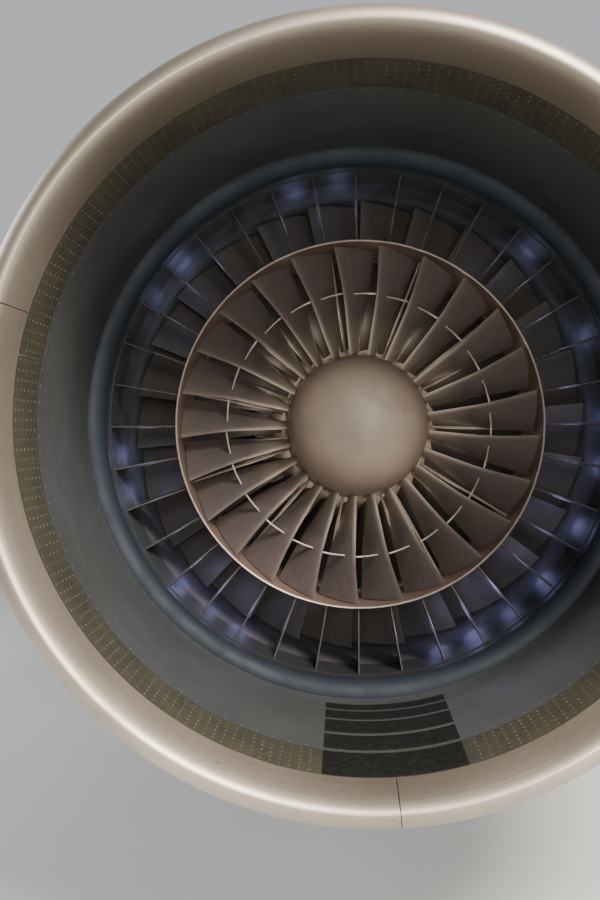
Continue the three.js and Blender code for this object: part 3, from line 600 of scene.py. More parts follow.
class Finish:
    """A material under construction: a Principled BSDF and the shared groups that feed it."""

    def __init__(self, name, metallic, coat=0.0, shine=0.5):
        self.material = bpy.data.materials.new(name)
        self.material.use_nodes = True
        self.tree = self.material.node_tree
        self.shader = next(n for n in self.tree.nodes if n.type == "BSDF_PRINCIPLED").inputs
        for label, value in (("Metallic", metallic), ("Coat Weight", coat), ("Specular IOR Level", shine)):
            self.shader[label].default_value = value
        self.place = add(self.tree, "ShaderNodeTexCoord", out="Object")
        self.engine = self.group(engine_place, {"Vector": self.place}, None)

    def group(self, build, values, out):
        return add(self.tree, "ShaderNodeGroup", values, out, node_tree=shared(build))

    def maths(self, operation, first, second):
        return maths(self.tree, operation, first, second, clamp=True)

    def mask(self, kind, *numbers):
        """A mask of one kind. edge is a blade's leading edge, in a band if numbers give one."""
        if kind == "edge":
            edge = add(self.tree, "ShaderNodeAttribute", out="Fac", attribute_name="edge")
            return self.maths("MULTIPLY", edge, self.mask("band", *numbers)) if numbers else edge
        if kind == "outside":
            return self.maths("SUBTRACT", 1.0, self.mask("band", *numbers))
        build, labels = MASKS[kind]
        values = dict(zip(labels, numbers))
        if kind == "band":
            values["Value"] = self.engine[values["Value"]]
        else:
            values["Vector"] = self.place if kind == "mottle" else self.engine["Unrolled"]
        return self.group(build, values, "Mask")

    def mix(self, mask, under, over):
        """One colour over another where the mask is."""
        colours = [(*c, 1.0) if isinstance(c, tuple) else c for c in (under, over)]
        return add(self.tree, "ShaderNodeMix", {0: mask, 6: colours[0], 7: colours[1]}, 2, data_type="RGBA")

    def finished(self, colour, rough, low, high):
        """The material, with its colour and its roughness between two limits."""
        level = add(self.tree, "ShaderNodeMapRange", {"Value": rough, "To Min": low, "To Max": high})
        self.tree.links.new(colour, self.shader["Base Color"])
        self.tree.links.new(level, self.shader["Roughness"])
        return self.material


def fine(scale, strength, share=0.3):
    """A fine grain: its mask, its share of the roughness, and the strength and depth of its bumps."""
    return ("mottle", scale, 0.2, 0.8), share, strength, 0.002


def shaded_below(upper_tone, shaded_tone, roughness):
    """Paint that darkens towards the bottom of the engine: painted shade, which keeps the lower side as dim
    as the top under the key light from above.
    """
    layers = [(("outside", "Angle", -105.0, 105.0, 70.0), 1.0, shaded_tone)]
    second = tuple(0.78 * part for part in upper_tone)
    return 0.1, 6.0, upper_tone, second, roughness, {"layers": layers, "grain": fine(90.0, 0.06, 0.0)}


def soft(scale):
    """Soft, wide patches."""
    return "mottle", scale, 0.35, 0.7


def grit(scale, strength=0.05):
    """A shallow grain that leaves the roughness alone."""
    return ("mottle", scale, 0.3, 0.7), 0.0, strength, 0.001


SMUDGES = ("mottle", 2.2, 0.42, 0.75)
BRUSHED = ("streaks", (1.2, 140.0, 140.0), 0.3, 0.75)
RUBBED = ("streaks", (6.0, 60.0, 5.0), 0.35, 0.8)
HEAT_WAVES = ("streaks", (1.5, 2.2, 1.0), 0.25, 0.75)

# Metallic, main patches (a mask, or the scale of a plain mottle), first and second tone, roughness,
# and what is added: layers of mask, share and colour, a grain, a clear coat, and the shine of what
# isn't metal
FINISHES = {
    "Bare lip metal": (1.0, SMUDGES, (0.72, 0.63, 0.515), (0.54, 0.47, 0.385), (0.50, 0.66), {
        "layers": [
            (BRUSHED, 0.35, (0.86, 0.80, 0.73)),
            # The top of the lip and its lowest part are painted darker: painted shade over the lit top and
            # over the highlight at the bottom
            (("band", "Angle", -72.0, 68.0, 60.0), 0.9, (0.33, 0.29, 0.24)),
            (("outside", "Angle", -162.0, 165.0, 30.0), 0.7, (0.40, 0.35, 0.29)),
            (("mottle", 38.0, 0.64, 0.72), 0.5, (0.34, 0.29, 0.25)),
        ],
        "grain": (BRUSHED, 0.4, 0.06, 0.002),
    }),
    "Blade titanium": (0.45, soft(7.0), (0.108, 0.087, 0.080), (0.086, 0.071, 0.070), (0.42, 0.58), {
        "layers": [
            (RUBBED, 0.35, (0.17, 0.14, 0.125)),
            (("band", "Radius", -1.0, 0.46, 0.20), 0.7, (0.34, 0.28, 0.225)),
            (("edge",), 0.18, (0.36, 0.31, 0.26)),
            (("edge", "Radius", -1.0, 0.56, 0.30), 1.0, (0.46, 0.39, 0.31)),
        ],
        "grain": (RUBBED, 0.0, 0.05, 0.001),
    }),
    "Spinner finish": (0.15, soft(9.0), (0.208, 0.162, 0.124), (0.170, 0.132, 0.099), (0.56, 0.70), {
        "layers": [
            # The darker middle of the dome is painted shade that holds down the lamps' highlight there
            (("band", "Radius", -1.0, 0.17, 0.24), 0.8, (0.074, 0.064, 0.050)),
            (("band", "Radius", 0.29, 1.0, 0.10), 0.7, (0.145, 0.098, 0.072)),
            (("mottle", 46.0, 0.62, 0.70), 0.2, (0.42, 0.37, 0.31)),
        ],
        "grain": grit(70.0),
    }),
    "Heat tinted metal": (1.0, HEAT_WAVES, (0.42, 0.34, 0.26), (0.30, 0.25, 0.215), (0.28, 0.46), {
        "layers": [
            (("streaks", (0.7, 5.0, 0.8), 0.55, 0.8), 0.45, (0.22, 0.23, 0.27)),
            (("streaks", (14.0, 0.7, 2.0), 0.5, 0.85), 0.5, (0.13, 0.11, 0.10)),
        ],
        "grain": grit(60.0),
    }),
    "Vane metal": (0.5, soft(6.0), (0.12, 0.115, 0.12), (0.085, 0.085, 0.095), (0.24, 0.40), {
        "layers": [(("edge",), 0.9, (0.46, 0.40, 0.345))],
        "grain": grit(80.0, 0.04),
    }),
    "Olive liner": (0.0, 5.0, (0.053, 0.049, 0.031), (0.038, 0.035, 0.025), (0.50, 0.66), {
        "layers": [(("mottle", 30.0, 0.58, 0.72), 0.4, (0.09, 0.085, 0.06))],
    }),
    "Barrel grey": (0.0, 2.6, (0.057, 0.061, 0.062), (0.045, 0.049, 0.050), (0.44, 0.58), {
        "layers": [(("streaks", (3.0, 22.0, 3.0), 0.45, 0.8), 0.35, (0.085, 0.087, 0.082))],
    }),
    "Cowl paint": (0.0, 1.3, (0.52, 0.53, 0.54), (0.44, 0.45, 0.46), (0.28, 0.42), {
        "layers": [
            (("streaks", (7.0, 0.6, 1.0), 0.45, 0.8), 0.42, (0.40, 0.39, 0.365)),
            (("mottle", 14.0, 0.58, 0.72), 0.32, (0.36, 0.34, 0.31)),
        ],
        "grain": fine(220.0, 0.02), "coat": 0.25,
    }),
    "Pylon paint": (0.0, 1.7, (0.50, 0.51, 0.52), (0.44, 0.45, 0.46), (0.30, 0.44), {
        "layers": [
            (("streaks", (1.0, 0.5, 6.0), 0.45, 0.8), 0.3, (0.44, 0.43, 0.41)),
            (("mottle", 10.0, 0.58, 0.72), 0.25, (0.38, 0.37, 0.35)),
        ],
        "grain": fine(220.0, 0.02), "coat": 0.2,
    }),
    "Anti-slip grit": (0.0, 40.0, (0.011, 0.011, 0.0105), (0.018, 0.0175, 0.016), (0.85, 0.95), {
        "grain": fine(320.0, 0.6), "shine": 0.08,
    }),
    # The ring and both linings darken towards the bottom as painted shade
    "Blue grey ring": shaded_below((0.0170, 0.0262, 0.0400), (0.0102, 0.0160, 0.0255), (0.60, 0.72)),
    # The front lining is a darker copy of the rear lining, painted shade just behind the ring; the rear
    # lining's lighter tone is painted light
    "Front lining": shaded_below((0.080, 0.091, 0.099), (0.026, 0.028, 0.031), (0.42, 0.54)),
    "Rear lining": shaded_below((0.150, 0.170, 0.182), (0.068, 0.064, 0.073), (0.42, 0.54)),
    "Cast metal": (0.85, 8.0, (0.30, 0.30, 0.29), (0.20, 0.20, 0.20), (0.42, 0.6), {
        "grain": fine(120.0, 0.15),
    }),
    "Full-stage titanium": (0.1, 6.0, (0.076, 0.068, 0.062), (0.060, 0.054, 0.050), (0.46, 0.60), {}),
    "Pale dots": (0.0, 15.0, (0.15, 0.142, 0.105), (0.066, 0.062, 0.042), (0.4, 0.6), {}),
    "Case grey": (0.6, 4.0, (0.30, 0.305, 0.31), (0.24, 0.245, 0.25), (0.34, 0.5), {}),
    "Door inside": (0.0, 3.0, (0.36, 0.37, 0.33), (0.29, 0.30, 0.27), (0.45, 0.6), {}),
    "Pipe steel": (1.0, 12.0, (0.52, 0.50, 0.47), (0.40, 0.385, 0.36), (0.24, 0.40), {}),
    "Dark box": (0.3, 9.0, (0.060, 0.066, 0.072), (0.045, 0.050, 0.056), (0.35, 0.5), {}),
    "Duct grey": (0.0, 2.0, (0.32, 0.33, 0.33), (0.26, 0.27, 0.27), (0.4, 0.55), {}),
    "Cascade metal": (0.8, 9.0, (0.42, 0.42, 0.42), (0.33, 0.33, 0.33), (0.35, 0.5), {}),
    "Splitter metal": (0.3, 7.0, (0.175, 0.118, 0.092), (0.140, 0.096, 0.078), (0.40, 0.54), {}),
    "Bright edge": (0.6, 9.0, (0.52, 0.45, 0.385), (0.43, 0.365, 0.31), (0.34, 0.46), {}),
    "Fastener steel": (1.0, 30.0, (0.42, 0.40, 0.37), (0.30, 0.28, 0.26), (0.3, 0.45), {}),
    "Wing metal": (0.35, 9.0, (0.66, 0.60, 0.53), (0.56, 0.50, 0.44), (0.36, 0.46), {}),
    "Stator metal": (0.35, 9.0, (0.62, 0.53, 0.43), (0.52, 0.44, 0.36), (0.38, 0.50), {}),
    "Flush head": (0.5, 30.0, (0.50, 0.50, 0.50), (0.40, 0.40, 0.40), (0.35, 0.5), {}),
    # Dark rubber for the hatch seals, and painted shade for the slots at the spinner's rim
    "Dark seal": (0.0, 20.0, (0.02, 0.02, 0.022), (0.03, 0.03, 0.03), (0.55, 0.7), {}),
}


def finish(name):
    """A finish from its row of the table."""
    metallic, patches, first, second, roughness, added = FINISHES[name]
    made = Finish(name, metallic, added.get("coat", 0.0), added.get("shine", 0.5))
    tone = made.mask(*(patches if isinstance(patches, tuple) else ("mottle", patches, 0.38, 0.68)))
    colour = made.mix(tone, first, second)
    for mask, share, over in added.get("layers", []):
        colour = made.mix(made.maths("MULTIPLY", made.mask(*mask), share), colour, over)
    mask, share, strength, depth = added.get("grain", fine(90.0, 0.06))
    grain = made.mask(*mask)
    rough = made.maths("ADD", made.maths("MULTIPLY", tone, 1 - share), made.maths("MULTIPLY", grain, share))
    bumps = add(made.tree, "ShaderNodeBump", {"Height": grain, "Strength": strength, "Distance": depth})
    made.tree.links.new(bumps, made.shader["Normal"])
    return made.finished(colour, rough, *roughness)


# Sizes that a user would change


def length(name, default, description, low=0.0, high=10.0):
    return bpy.props.FloatProperty(
        name=name, default=default, min=low, max=high, unit="LENGTH", description=description
    )


def number(name, default, low, high, description):
    return bpy.props.IntProperty(name=name, default=default, min=low, max=high, description=description)


def watts(name, default, description):
    return bpy.props.FloatProperty(name=name, default=default, min=0.0, description=description + ", watts")


class IntakeSizes(bpy.types.PropertyGroup):
    highlight_radius: length("Highlight Radius", 1.260, "Radius of the intake's foremost edge")
    inner_depth: length("Inner Depth", 0.045, "How far the lip closes in towards the throat")
    outer_depth: length("Outer Depth", 0.120, "How far the lip opens out to the outer skin")
    band_front: length("Band Front", 0.170, "Station where the olive band begins")
    band_rear: length("Band Rear", 0.385, "Station where the olive band ends")
    seam_gap: bpy.props.FloatProperty(
        name="Seam Gap", default=0.14, min=0.0, max=1.0, description="Gap between lip panels, degrees"
    )
    dot_rows: number("Dot Rows", 6, 1, 20, "Rows of dots on the band")
    dot_columns: number("Dot Columns", 216, 8, 400, "Dots in each row")


class FanSizes(bpy.types.PropertyGroup):
    vanes: number("Vanes", 36, 4, 80, "Guide vanes in each ring")
    half_blades: number("Half-Stage Blades", 25, 4, 60, "Blades inside the splitter")
    full_blades: number("Full-Stage Blades", 26, 4, 60, "Blades of the full stage")
    case_radius: length("Case Radius", 1.232, "Inner radius of the fan case")
    splitter_radius: length("Splitter Radius", 0.893, "Inner radius of the splitter ring")
    spinner_radius: length("Spinner Radius", 0.345, "Radius of the spinner's rim")
    spinner_length: length("Spinner Length", 0.300, "How far the spinner stands ahead of its rim")


class CowlSizes(bpy.types.PropertyGroup):
    door_wall: length("Door Wall", 0.024, "Depth of the fan cowl doors' skin and frames")
    latch_count: number("Latches", 4, 1, 8, "Latches along the fan cowl doors")
    rivet_spacing: length("Rivet Spacing", 0.055, "Distance between flush fasteners", 0.02, 0.5)


class StageLooks(bpy.types.PropertyGroup):
    floor_colour: bpy.props.FloatVectorProperty(
        name="Floor Colour", subtype="COLOR", size=3, default=(0.62, 0.61, 0.59), min=0, max=1,
        description="Colour of the floor",
    )
    floor_drop: length("Floor Drop", 0.55, "Distance from the nacelle's lowest point to the floor")
    key_power: watts("Key Power", 520.0, "Power of the main soft light")
    fan_power: watts("Fan Power", 90.0, "Power of the narrow lights on the fan")
    glint_power: watts("Glint Power", 0.15, "Power of each small cool light among the vanes")
    warm_power: watts("Warm Power", 0.9, "Power of each small warm light between the stages")


DOT_PITCH = 0.0335


class ENGINE_OT_intake(bpy.types.Operator):
    """Build the intake: lip, olive band, anti-slip strips, barrel and outer skin"""

    bl_idname = "engine.intake"
    bl_label = "Intake"

    def execute(self, context):
        sizes = context.scene.engine_intake
        self.lip(sizes)
        self.band(sizes)
        self.strips()
        self.barrel(sizes.band_rear + SEAM)
        self.skin(context.scene.engine_cowls.rivet_spacing)
        return {"FINISHED"}

    def lip(self, sizes):
        high, front = sizes.highlight_radius, sizes.band_front
        inner = arc(front, high, front, sizes.inner_depth, -90, 0, 22)
        outer = arc(0.300, high, 0.300, sizes.outer_depth, 0, 90, 30)[1:]
        outline = inner + outer + [(0.300, 1.353), (front, 1.242)]
        half = sizes.seam_gap / 2
        for word, start, end in (("right", 67, 180), ("left", 180, 293.5), ("upper", 293.5, 427)):
            node = "intake_lip_" + word
            panel = [turned(outline, 120, start + half, end - half)]
            piece("nacelle", "bare_metal", "Bare lip metal", node + "_skin", panel, node)
        # A row of rivets on each side of the bottom seam
        line = inner[::-1] + outer
        places = []
        for side in (-1, 1):
            for row in range(24, len(line) - 4, 3):
                along = (Vector(line[row + 1]) - Vector(line[row - 1])).normalized()
                angle = 180 + side * math.degrees(0.022 / line[row][1])
                places.append((at(*line[row], angle), outward(angle) * along.x - Vector((0, along.y, 0))))
        heads("nacelle", "bare_metal", "Fastener steel", "lip_rivets", places, 0.0032, 0.0005, 8)

    def band(self, sizes):
        front, rear = sizes.band_front + SEAM, sizes.band_rear
        rows = rounded([(front, 1.215), (rear, 1.219), (rear, 1.239), (front, 1.235)], 0.0015)
        olive = partial(piece, "nacelle", "band_olive")
        olive("Olive liner", "acoustic_band", [turned(rows, 288)], "intake_acoustic_band")
        places = []
        for row in range(sizes.dot_rows):
            station = front + 0.024 + row * DOT_PITCH
            radius = 1.215 + 0.004 * (station - front) / (rear - front)
            places += ring_places(station, radius, sizes.dot_columns, 0.8, 360.8, inward=True)
        # No dots under the anti-slip strips
        clear = math.radians(12.6)
        places = [p for p in places if abs(math.atan2(p[0].x, AXIS_Z - p[0].z)) > clear]
        heads("nacelle", "band_olive", "Pale dots", "band_dots", places, 0.0042, 0.0006, 8)
        joint = rounded([(front, 1.2142), (rear, 1.2182), (rear, 1.2195), (front, 1.2155)], 0.0004)
        olive("Pale dots", "band_joint_strip", [turned(joint, 4, 286.4, 286.62)])

    def strips(self):
        line = [(0.17, 1.215), (0.385, 1.219), (0.70, 1.232), (1.09, 1.272)]
        parts = []
        for start, end in ((0.176, 0.372), (0.402, 0.548), (0.572, 0.716), (0.742, 0.862), (0.886, 0.975)):
            under = [(s, radius_at(line, s) + 0.0006) for s in np.linspace(start, end, 7)]
            parts.append(turned(rounded(wall(under, 0.0028), 0.0008, 2), 40, 168, 192))
        piece("nacelle", "band_olive", "Anti-slip grit", "anti_slip_strips", parts)

    def barrel(self, front):
        inside = eased([(front, 1.219), (0.700, 1.232), (1.090, 1.272)], 12)
        rows = inside + [(1.090, 1.417), (1.070, 1.417), (1.070, 1.292)]
        rows += [(s, r + 0.020) for s, r in inside[-4::-1]]
        skin = [turned(rows, 288)]
        piece("nacelle", "barrel_grey", "Barrel grey", "inner_barrel", skin, "intake_inner_barrel")
        places = []
        for station in (front + 0.018, 1.066):
            places += ring_places(station, radius_at(inside, station), 120, inward=True)
        heads("nacelle", "barrel_grey", "Case grey", "barrel_rivets", places, 0.0035, 0.0005, 8)

    def skin(self, spacing):
        line = eased(SKIN_LINE, 10)
        rows = [(line[0][0] + SEAM, line[0][1])] + line[1:]
        rows = rounded(rows + [(s, r - 0.018) for s, r in rows[:0:-1]] + [(0.3003, 1.353)], 0.001, 2)
        piece("nacelle", "cowl_paint", "Cowl paint", "outer_skin", [turned(rows, 288)], "intake_outer_skin")
        places = places_round(line, (0.322, 0.340, 1.105, 1.135), spacing)
        for angle in (59.1, 60.9, 179.1, 180.9, 299.1, 300.9):
            places += line_places(line, angle, spacing, 0.36, 1.09)
        heads("nacelle", "cowl_paint", "Flush head", "skin_rivets", places)


# The angles of the first half-stage blade and of the first stator vane
HALF_PHASE = 3.9
STATOR_PHASE = 6.4
# The ribs round the fan case
RIBS = (1.42, 1.62, 1.86, 2.10)
RIB_WIDTH = 0.014

spool_piece = partial(piece, "low_pressure_spool", "blade_titanium")
spool_ring = partial(ring_piece, "low_pressure_spool", "blade_titanium")


class ENGINE_OT_fan(bpy.types.Operator):
    """Build the fan: front ring, case, vanes, splitter, spinner and both rotors"""

    bl_idname = "engine.fan"
    bl_label = "Fan"

    def execute(self, context):
        sizes = context.scene.engine_fan
        self.case(sizes.case_radius)
        self.vanes(sizes)
        self.splitter(sizes.splitter_radius)
        self.spinner(sizes)
        self.half_stage(sizes.half_blades)
        self.full_stage(sizes.full_blades)
        return {"FINISHED"}

    def case(self, bore):
        ring = arc(1.165, 1.272, 0.0747, 0.067, 0, -90, 16) + [(1.165, 1.300), (1.0903, 1.300)]
        ring = [turned(ring, 288)]
        piece("nacelle", "ring_blue", "Blue grey ring", "front_ring", ring, "fan_case_front_ring")
        grey = partial(piece, "nacelle", "case_grey")
        rows = [(1.1653, bore), (2.300, bore), (2.300, 1.300), (2.276, 1.300)]
        rows += [(2.276, 1.260), (1.1653, 1.260)]
        grey("Case grey", "fan_shell", [turned(rounded(rows), 288)], "fan_case")
        # The darker front lining is painted shade behind the ring, and the lighter rear lining is painted
        # light
        grey("Front lining", "front_lining", [turned(box(1.170, 1.297, bore - 0.0008, bore + 0.002), 288)])
        grey("Rear lining", "rear_lining", [turned(box(1.562, 2.148, bore - 0.0008, bore + 0.002), 288)])
        ribs = [turned(box(s, s + RIB_WIDTH, 1.258, 1.276, 0.003)) for s in RIBS]
        grey("Case grey", "fan_shell_ribs", ribs)

    def vanes(self, sizes):
        bore, inside, count = sizes.case_radius, sizes.splitter_radius, sizes.vanes
        frame_ring = partial(ring_piece, "nacelle", "vane_metal")
        outer = straight_vane(inside + 0.012, bore - 0.003, 1.305, 1.540, 0.011)
        frame_ring("Vane metal", "outer_guide_vanes", outer, count, 180 / count, "front_vane_frame")
        inner = straight_vane(0.370, inside + 0.006, 1.500, 1.640, 0.014)
        frame_ring("Stator metal", "inner_stator_vanes", inner, count, STATOR_PHASE)
        # The rim's front part takes the darker lining as painted shade, and its rear part takes the lighter
        # one as painted light
        for word, front, rear in (("front", 1.298, 1.468), ("rear", 1.4685, 1.560)):
            rim = [turned(box(front, rear, bore - 0.004, bore - 0.0004), 288)]
            piece("nacelle", "vane_metal", word.capitalize() + " lining", "vane_rim_" + word, rim)

    def splitter(self, inside):
        ring = [
            (1.2905, 0.0035), (1.293, 0.001), (1.300, 0.0), (1.660, 0.0), (1.660, 0.022),
            (1.400, 0.024), (1.340, 0.017), (1.305, 0.010), (1.292, 0.0062),
        ]
        lip = [
            (1.2898, 0.0035), (1.2925, 0.0003), (1.299, -0.0008),
            (1.299, 0.004), (1.303, 0.0105), (1.2915, 0.0070),
        ]
        metal = partial(piece, "nacelle", "vane_metal")
        metal("Splitter metal", "splitter_ring", [turned([(s, inside + r) for s, r in ring], 288)])
        metal("Bright edge", "splitter_edge", [turned([(s, inside + r) for s, r in lip], 288)])
        inner = rounded([(1.500, 0.362), (1.640, 0.372), (1.640, 0.384), (1.500, 0.376)], 0.003, 2)
        metal("Splitter metal", "inner_ring", [turned(inner, 180)])

    def spinner(self, sizes):
        rear = 1.309
        dome = arc(rear, 0.0, sizes.spinner_length, sizes.spinner_radius, 0, 90, 40)
        rows = dome + [(rear, 0.0)]
        grey = partial(piece, "low_pressure_spool", "spinner_grey")
        grey("Spinner finish", "spinner_dome", [turned(rows, 180)], "spinner", mend=True)
        # Dark strips on the rim, one for each blade's root: painted shade that stands in for the slots there
        start, middle, end = dome[34], dome[36], dome[39]
        rows = [(s - 0.0006, r + 0.0006) for s, r in (start, middle, end)]
        rows += [(end[0], end[1] - 0.002), (start[0] + 0.002, start[1] - 0.002)]
        angles = [HALF_PHASE + k * 360 / sizes.half_blades for k in range(sizes.half_blades)]
        grey("Dark seal", "spinner_slots", [turned(rows, 3, angle - 1.6, angle + 1.6) for angle in angles])

    def half_stage(self, count):
        rows = [
            (0.335, 1.312, -0.030, 1.478, -0.008, 0.020, 0.016),
            (0.460, 1.322, -0.040, 1.477, 0.025, 0.014, 0.014),
            (0.655, 1.334, -0.056, 1.476, 0.071, 0.008, 0.010),
            (0.887, 1.340, -0.095, 1.478, 0.109, 0.005, 0.006),
        ]
        spool_ring("Blade titanium", "half_stage_blades", blade(rows), count, HALF_PHASE, "half_stage_rotor")
        wing = self.wing(0.655, (1.352, 0.107), (1.384, 0.004), 0.034, 0.0065)
        spool_ring("Wing metal", "half_stage_wings", (wing, None), count, HALF_PHASE, mend=True)
        hub = [(1.3093, 0.0), (1.3093, 0.345), (1.490, 0.352), (1.490, 0.330), (1.651, 0.330), (1.651, 0.0)]
        spool_piece("Stator metal", "half_stage_hub", [turned(hub, 150)], mend=True)

    def wing(self, radius, start, end, width, thick):
        """A part-span wing between two blades: from one leading edge to the next blade's middle."""
        # The wing's width runs along the blades' chord, and its thickness along the radius
        along, across = 0.727, 0.686
        rings = []
        for station, side in np.linspace(start, end, 9):
            ring = []
            for turn in np.linspace(0, 2 * math.pi, 13)[:-1]:
                wide, high = 0.5 * width * math.cos(turn), 0.5 * thick * math.sin(turn)
                angle = math.degrees((side + wide * across) / radius)
                ring.append(at(station + wide * along, radius + high, angle))
            rings.append(ring)
        return loft(rings)

    def full_stage(self, count):
        rows = [
            (0.395, 1.690, -0.040, 1.935, -0.005, 0.034, 0.026),
            (0.660, 1.700, -0.080, 1.930, 0.085, 0.022, 0.020),
            (0.905, 1.712, -0.118, 1.922, 0.145, 0.014, 0.012),
            (1.221, 1.735, -0.158, 1.905, 0.190, 0.009, 0.007),
        ]
        spool_ring("Full-stage titanium", "full_stage_blades", blade(rows), count, 0.0, "full_stage_rotor")
        hub = [
            (1.6513, 0.0), (1.6513, 0.385), (1.680, 0.400), (1.955, 0.505),
            (1.955, 0.300), (1.970, 0.120), (1.970, 0.0),
        ]
        spool_piece("Stator metal", "full_stage_hub", [turned(hub, 150)], mend=True)
        platform = [turned(box(1.730, 1.900, 0.898, 0.910, 0.005, 3))]
        spool_piece("Splitter metal", "full_stage_platform", platform)


class ENGINE_OT_core(bpy.types.Operator):
    """Build the core: outlet vanes, duct walls, casings, turbine, nozzle and plug"""

    bl_idname = "engine.core"
    bl_label = "Core and Exhaust"

    def execute(self, context):
        fan = context.scene.engine_fan
        self.outlet(fan.case_radius, fan.vanes)
        self.walls(fan.case_radius)
        self.turbine()
        self.exhaust()
        return {"FINISHED"}

    def outlet(self, bore, count):
        ring = partial(ring_piece, "nacelle", "duct_grey", "Duct grey")
        vane = straight_vane(0.735, bore - 0.006, 2.165, 2.285, 0.014, 0.022)
        ring("outlet_vanes", vane, count, 180 / count, "outlet_vane_frame")
        ring("core_struts", straight_vane(0.506, 0.680, 2.120, 2.280, 0.034), 8, 22.5)
        splitter = [
            (2.050, 0.690), (2.060, 0.6985), (2.100, 0.708), (2.300, 0.765),
            (2.300, 0.655), (2.100, 0.674), (2.060, 0.684),
        ]
        rings = [
            turned(box(2.150, 2.296, bore - 0.012, bore - 0.0004, 0.003)),
            turned(splitter, 180),
            turned(box(2.100, 2.290, 0.5004, 0.514, 0.003), 150),
        ]
        piece("nacelle", "duct_grey", "Duct grey", "outlet_rings", rings)

    def walls(self, bore):
        ring = [
            (2.3003, bore), (2.598, bore), (2.598, 1.428), (2.574, 1.428), (2.574, bore + 0.018),
            (2.3243, bore + 0.018), (2.3243, 1.300), (2.3003, 1.300),
        ]
        ring = [turned(rounded(ring, 0.003, 2))]
        piece("nacelle", "case_grey", "Case grey", "duct_ring_shell", ring, "duct_ring")
        inner = [turned(wall(eased(DUCT_LINE, 10), 0.016), 200)]
        piece("nacelle", "duct_grey", "Duct grey", "duct_inner_skin", inner, "duct_inner_wall")
        core = [turned(wall(eased(CORE_LINE, 6), 0.016), 200)]
        piece("nacelle", "cowl_paint", "Cowl paint", "core_fairing_skin", core, "core_fairing")
        places = ring_places(4.318, 0.8138, 96) + ring_places(4.805, 0.7718, 90)
        heads("nacelle", "cowl_paint", "Flush head", "core_fairing_rivets", places, 0.0035)

    def turbine(self):
        spool = ("low_pressure_spool", "hot_metal", "Heat tinted metal")
        rows = [
            (0.322, 5.505, -0.012, 5.595, 0.012, 0.010, -0.008),
            (0.585, 5.510, -0.026, 5.590, 0.026, 0.005, -0.004),
        ]
        ring_piece(*spool, "turbine_blades", blade(rows, 4), 72, 0.0, "turbine_rotor")
        disc = [(5.4793, 0.0), (5.4793, 0.180), (5.500, 0.330), (5.600, 0.330)]
        disc += [(5.620, 0.180), (5.620, 0.0)]
        piece(*spool, "turbine_disc", [turned(disc, 120)], mend=True)
        hot = ("nacelle", "hot_metal", "Heat tinted metal")
        shell = [turned(box(5.4403, 5.700, 0.594, 0.616, 0.003), 180)]
        piece(*hot, "turbine_shell", shell, "turbine_case")
        rings = [
            turned(box(5.7003, 5.900, 0.594, 0.616, 0.003), 180),
            turned(box(5.7003, 5.900, 0.305, 0.330, 0.003), 150),
        ]
        piece(*hot, "rear_frame_rings", rings, "turbine_rear_frame")
        ring_piece(*hot, "rear_frame_struts", straight_vane(0.318, 0.604, 5.720, 5.885, 0.032), 8, 22.5)

    def exhaust(self):
        hot = partial(piece, "nacelle", "hot_metal", "Heat tinted metal")
        plug = [(5.9003, 0.330), (6.300, 0.338), (6.700, 0.300)]
        plug += [(7.250, 0.190), (7.750, 0.078), (7.900, 0.034)]
        rows = [(5.9003, 0.0)] + eased(plug, 8) + [(7.918, 0.020), (7.925, 0.0)]
        hot("exhaust_plug_skin", [turned(rows, 150)], "exhaust_plug", mend=True)
        outside = eased([(5.650, 0.642), (6.100, 0.615), (6.600, 0.560), (7.000, 0.505)], 8)
        inside = eased([(7.000, 0.493), (6.600, 0.540), (6.100, 0.598), (5.9003, 0.600)], 8)
        rows = outside + inside + [(5.9003, 0.6164), (5.650, 0.6164)]
        hot("exhaust_nozzle_skin", [turned(rows, 180)], "exhaust_nozzle")
        seams = []
        for station in (5.98, 6.45, 6.93):
            bead = [(-0.004, -0.001), (0.004, -0.001), (0.003, 0.0016), (-0.003, 0.0016)]
            radius = radius_at(outside, station)
            seams.append(turned([(station + s, radius + r) for s, r in bead], 150))
        hot("nozzle_seams", seams)
        places = ring_places(5.672, radius_at(outside, 5.672), 72) + ring_places(5.930, 0.3305, 40)
        heads("nacelle", "hot_metal", "Fastener steel", "nozzle_bolts", places, 0.0045, 0.0012)


# The hinges of the fan cowl doors and the core cowl doors: stations, and the ends of the hinge line
# as station and height above the axis
HINGES = [
    ((1.700, 2.080, 2.460), ((1.165, 1.450), (2.558, 1.450))),
    ((4.960, 5.235, 5.510), ((4.830, 0.752), (5.640, 0.622))),
]


def on_hinges(side, stations, line):
    """Each hinge's middle, and the way that its axis goes."""
    ends = [Vector((0, station, height)) for station, height in line]
    way = (ends[1] - ends[0]).normalized()
    for station in stations:
        middle = ends[0] + way * (station - ends[0].y) / way.y
        yield middle + Vector((side * 0.188, FRONT_Y, AXIS_Z)), way


def hinge_part(middle, way, pin, lug, reach, depth):
    """A knuckle between two places along the hinge, and its lug, which reaches sideways."""
    low = Vector((0, 0, -0.5 * depth))
    near, far = (middle + way * place + low for place in lug)
    plate_corners = [near, far, far + reach, near + reach]
    return [
        rod(middle + way * pin[0], middle + way * pin[1], 0.011, 24),
        slab(plate_corners, (0, 0, depth)),
    ]


# Hatches of a fan cowl door: kind, first and last station, angle down from the top, and half of the
# angle that it spans
FAN_HATCHES = [
    ("", 1.62, 1.90, 100, 7.0),
    ("small_", 2.18, 2.34, 128, 3.2),
    ("upper_", 1.30, 1.46, 62, 3.0),
]
HATCH_SEAL = 0.004
CORE_RIVET_SPACING = 0.05


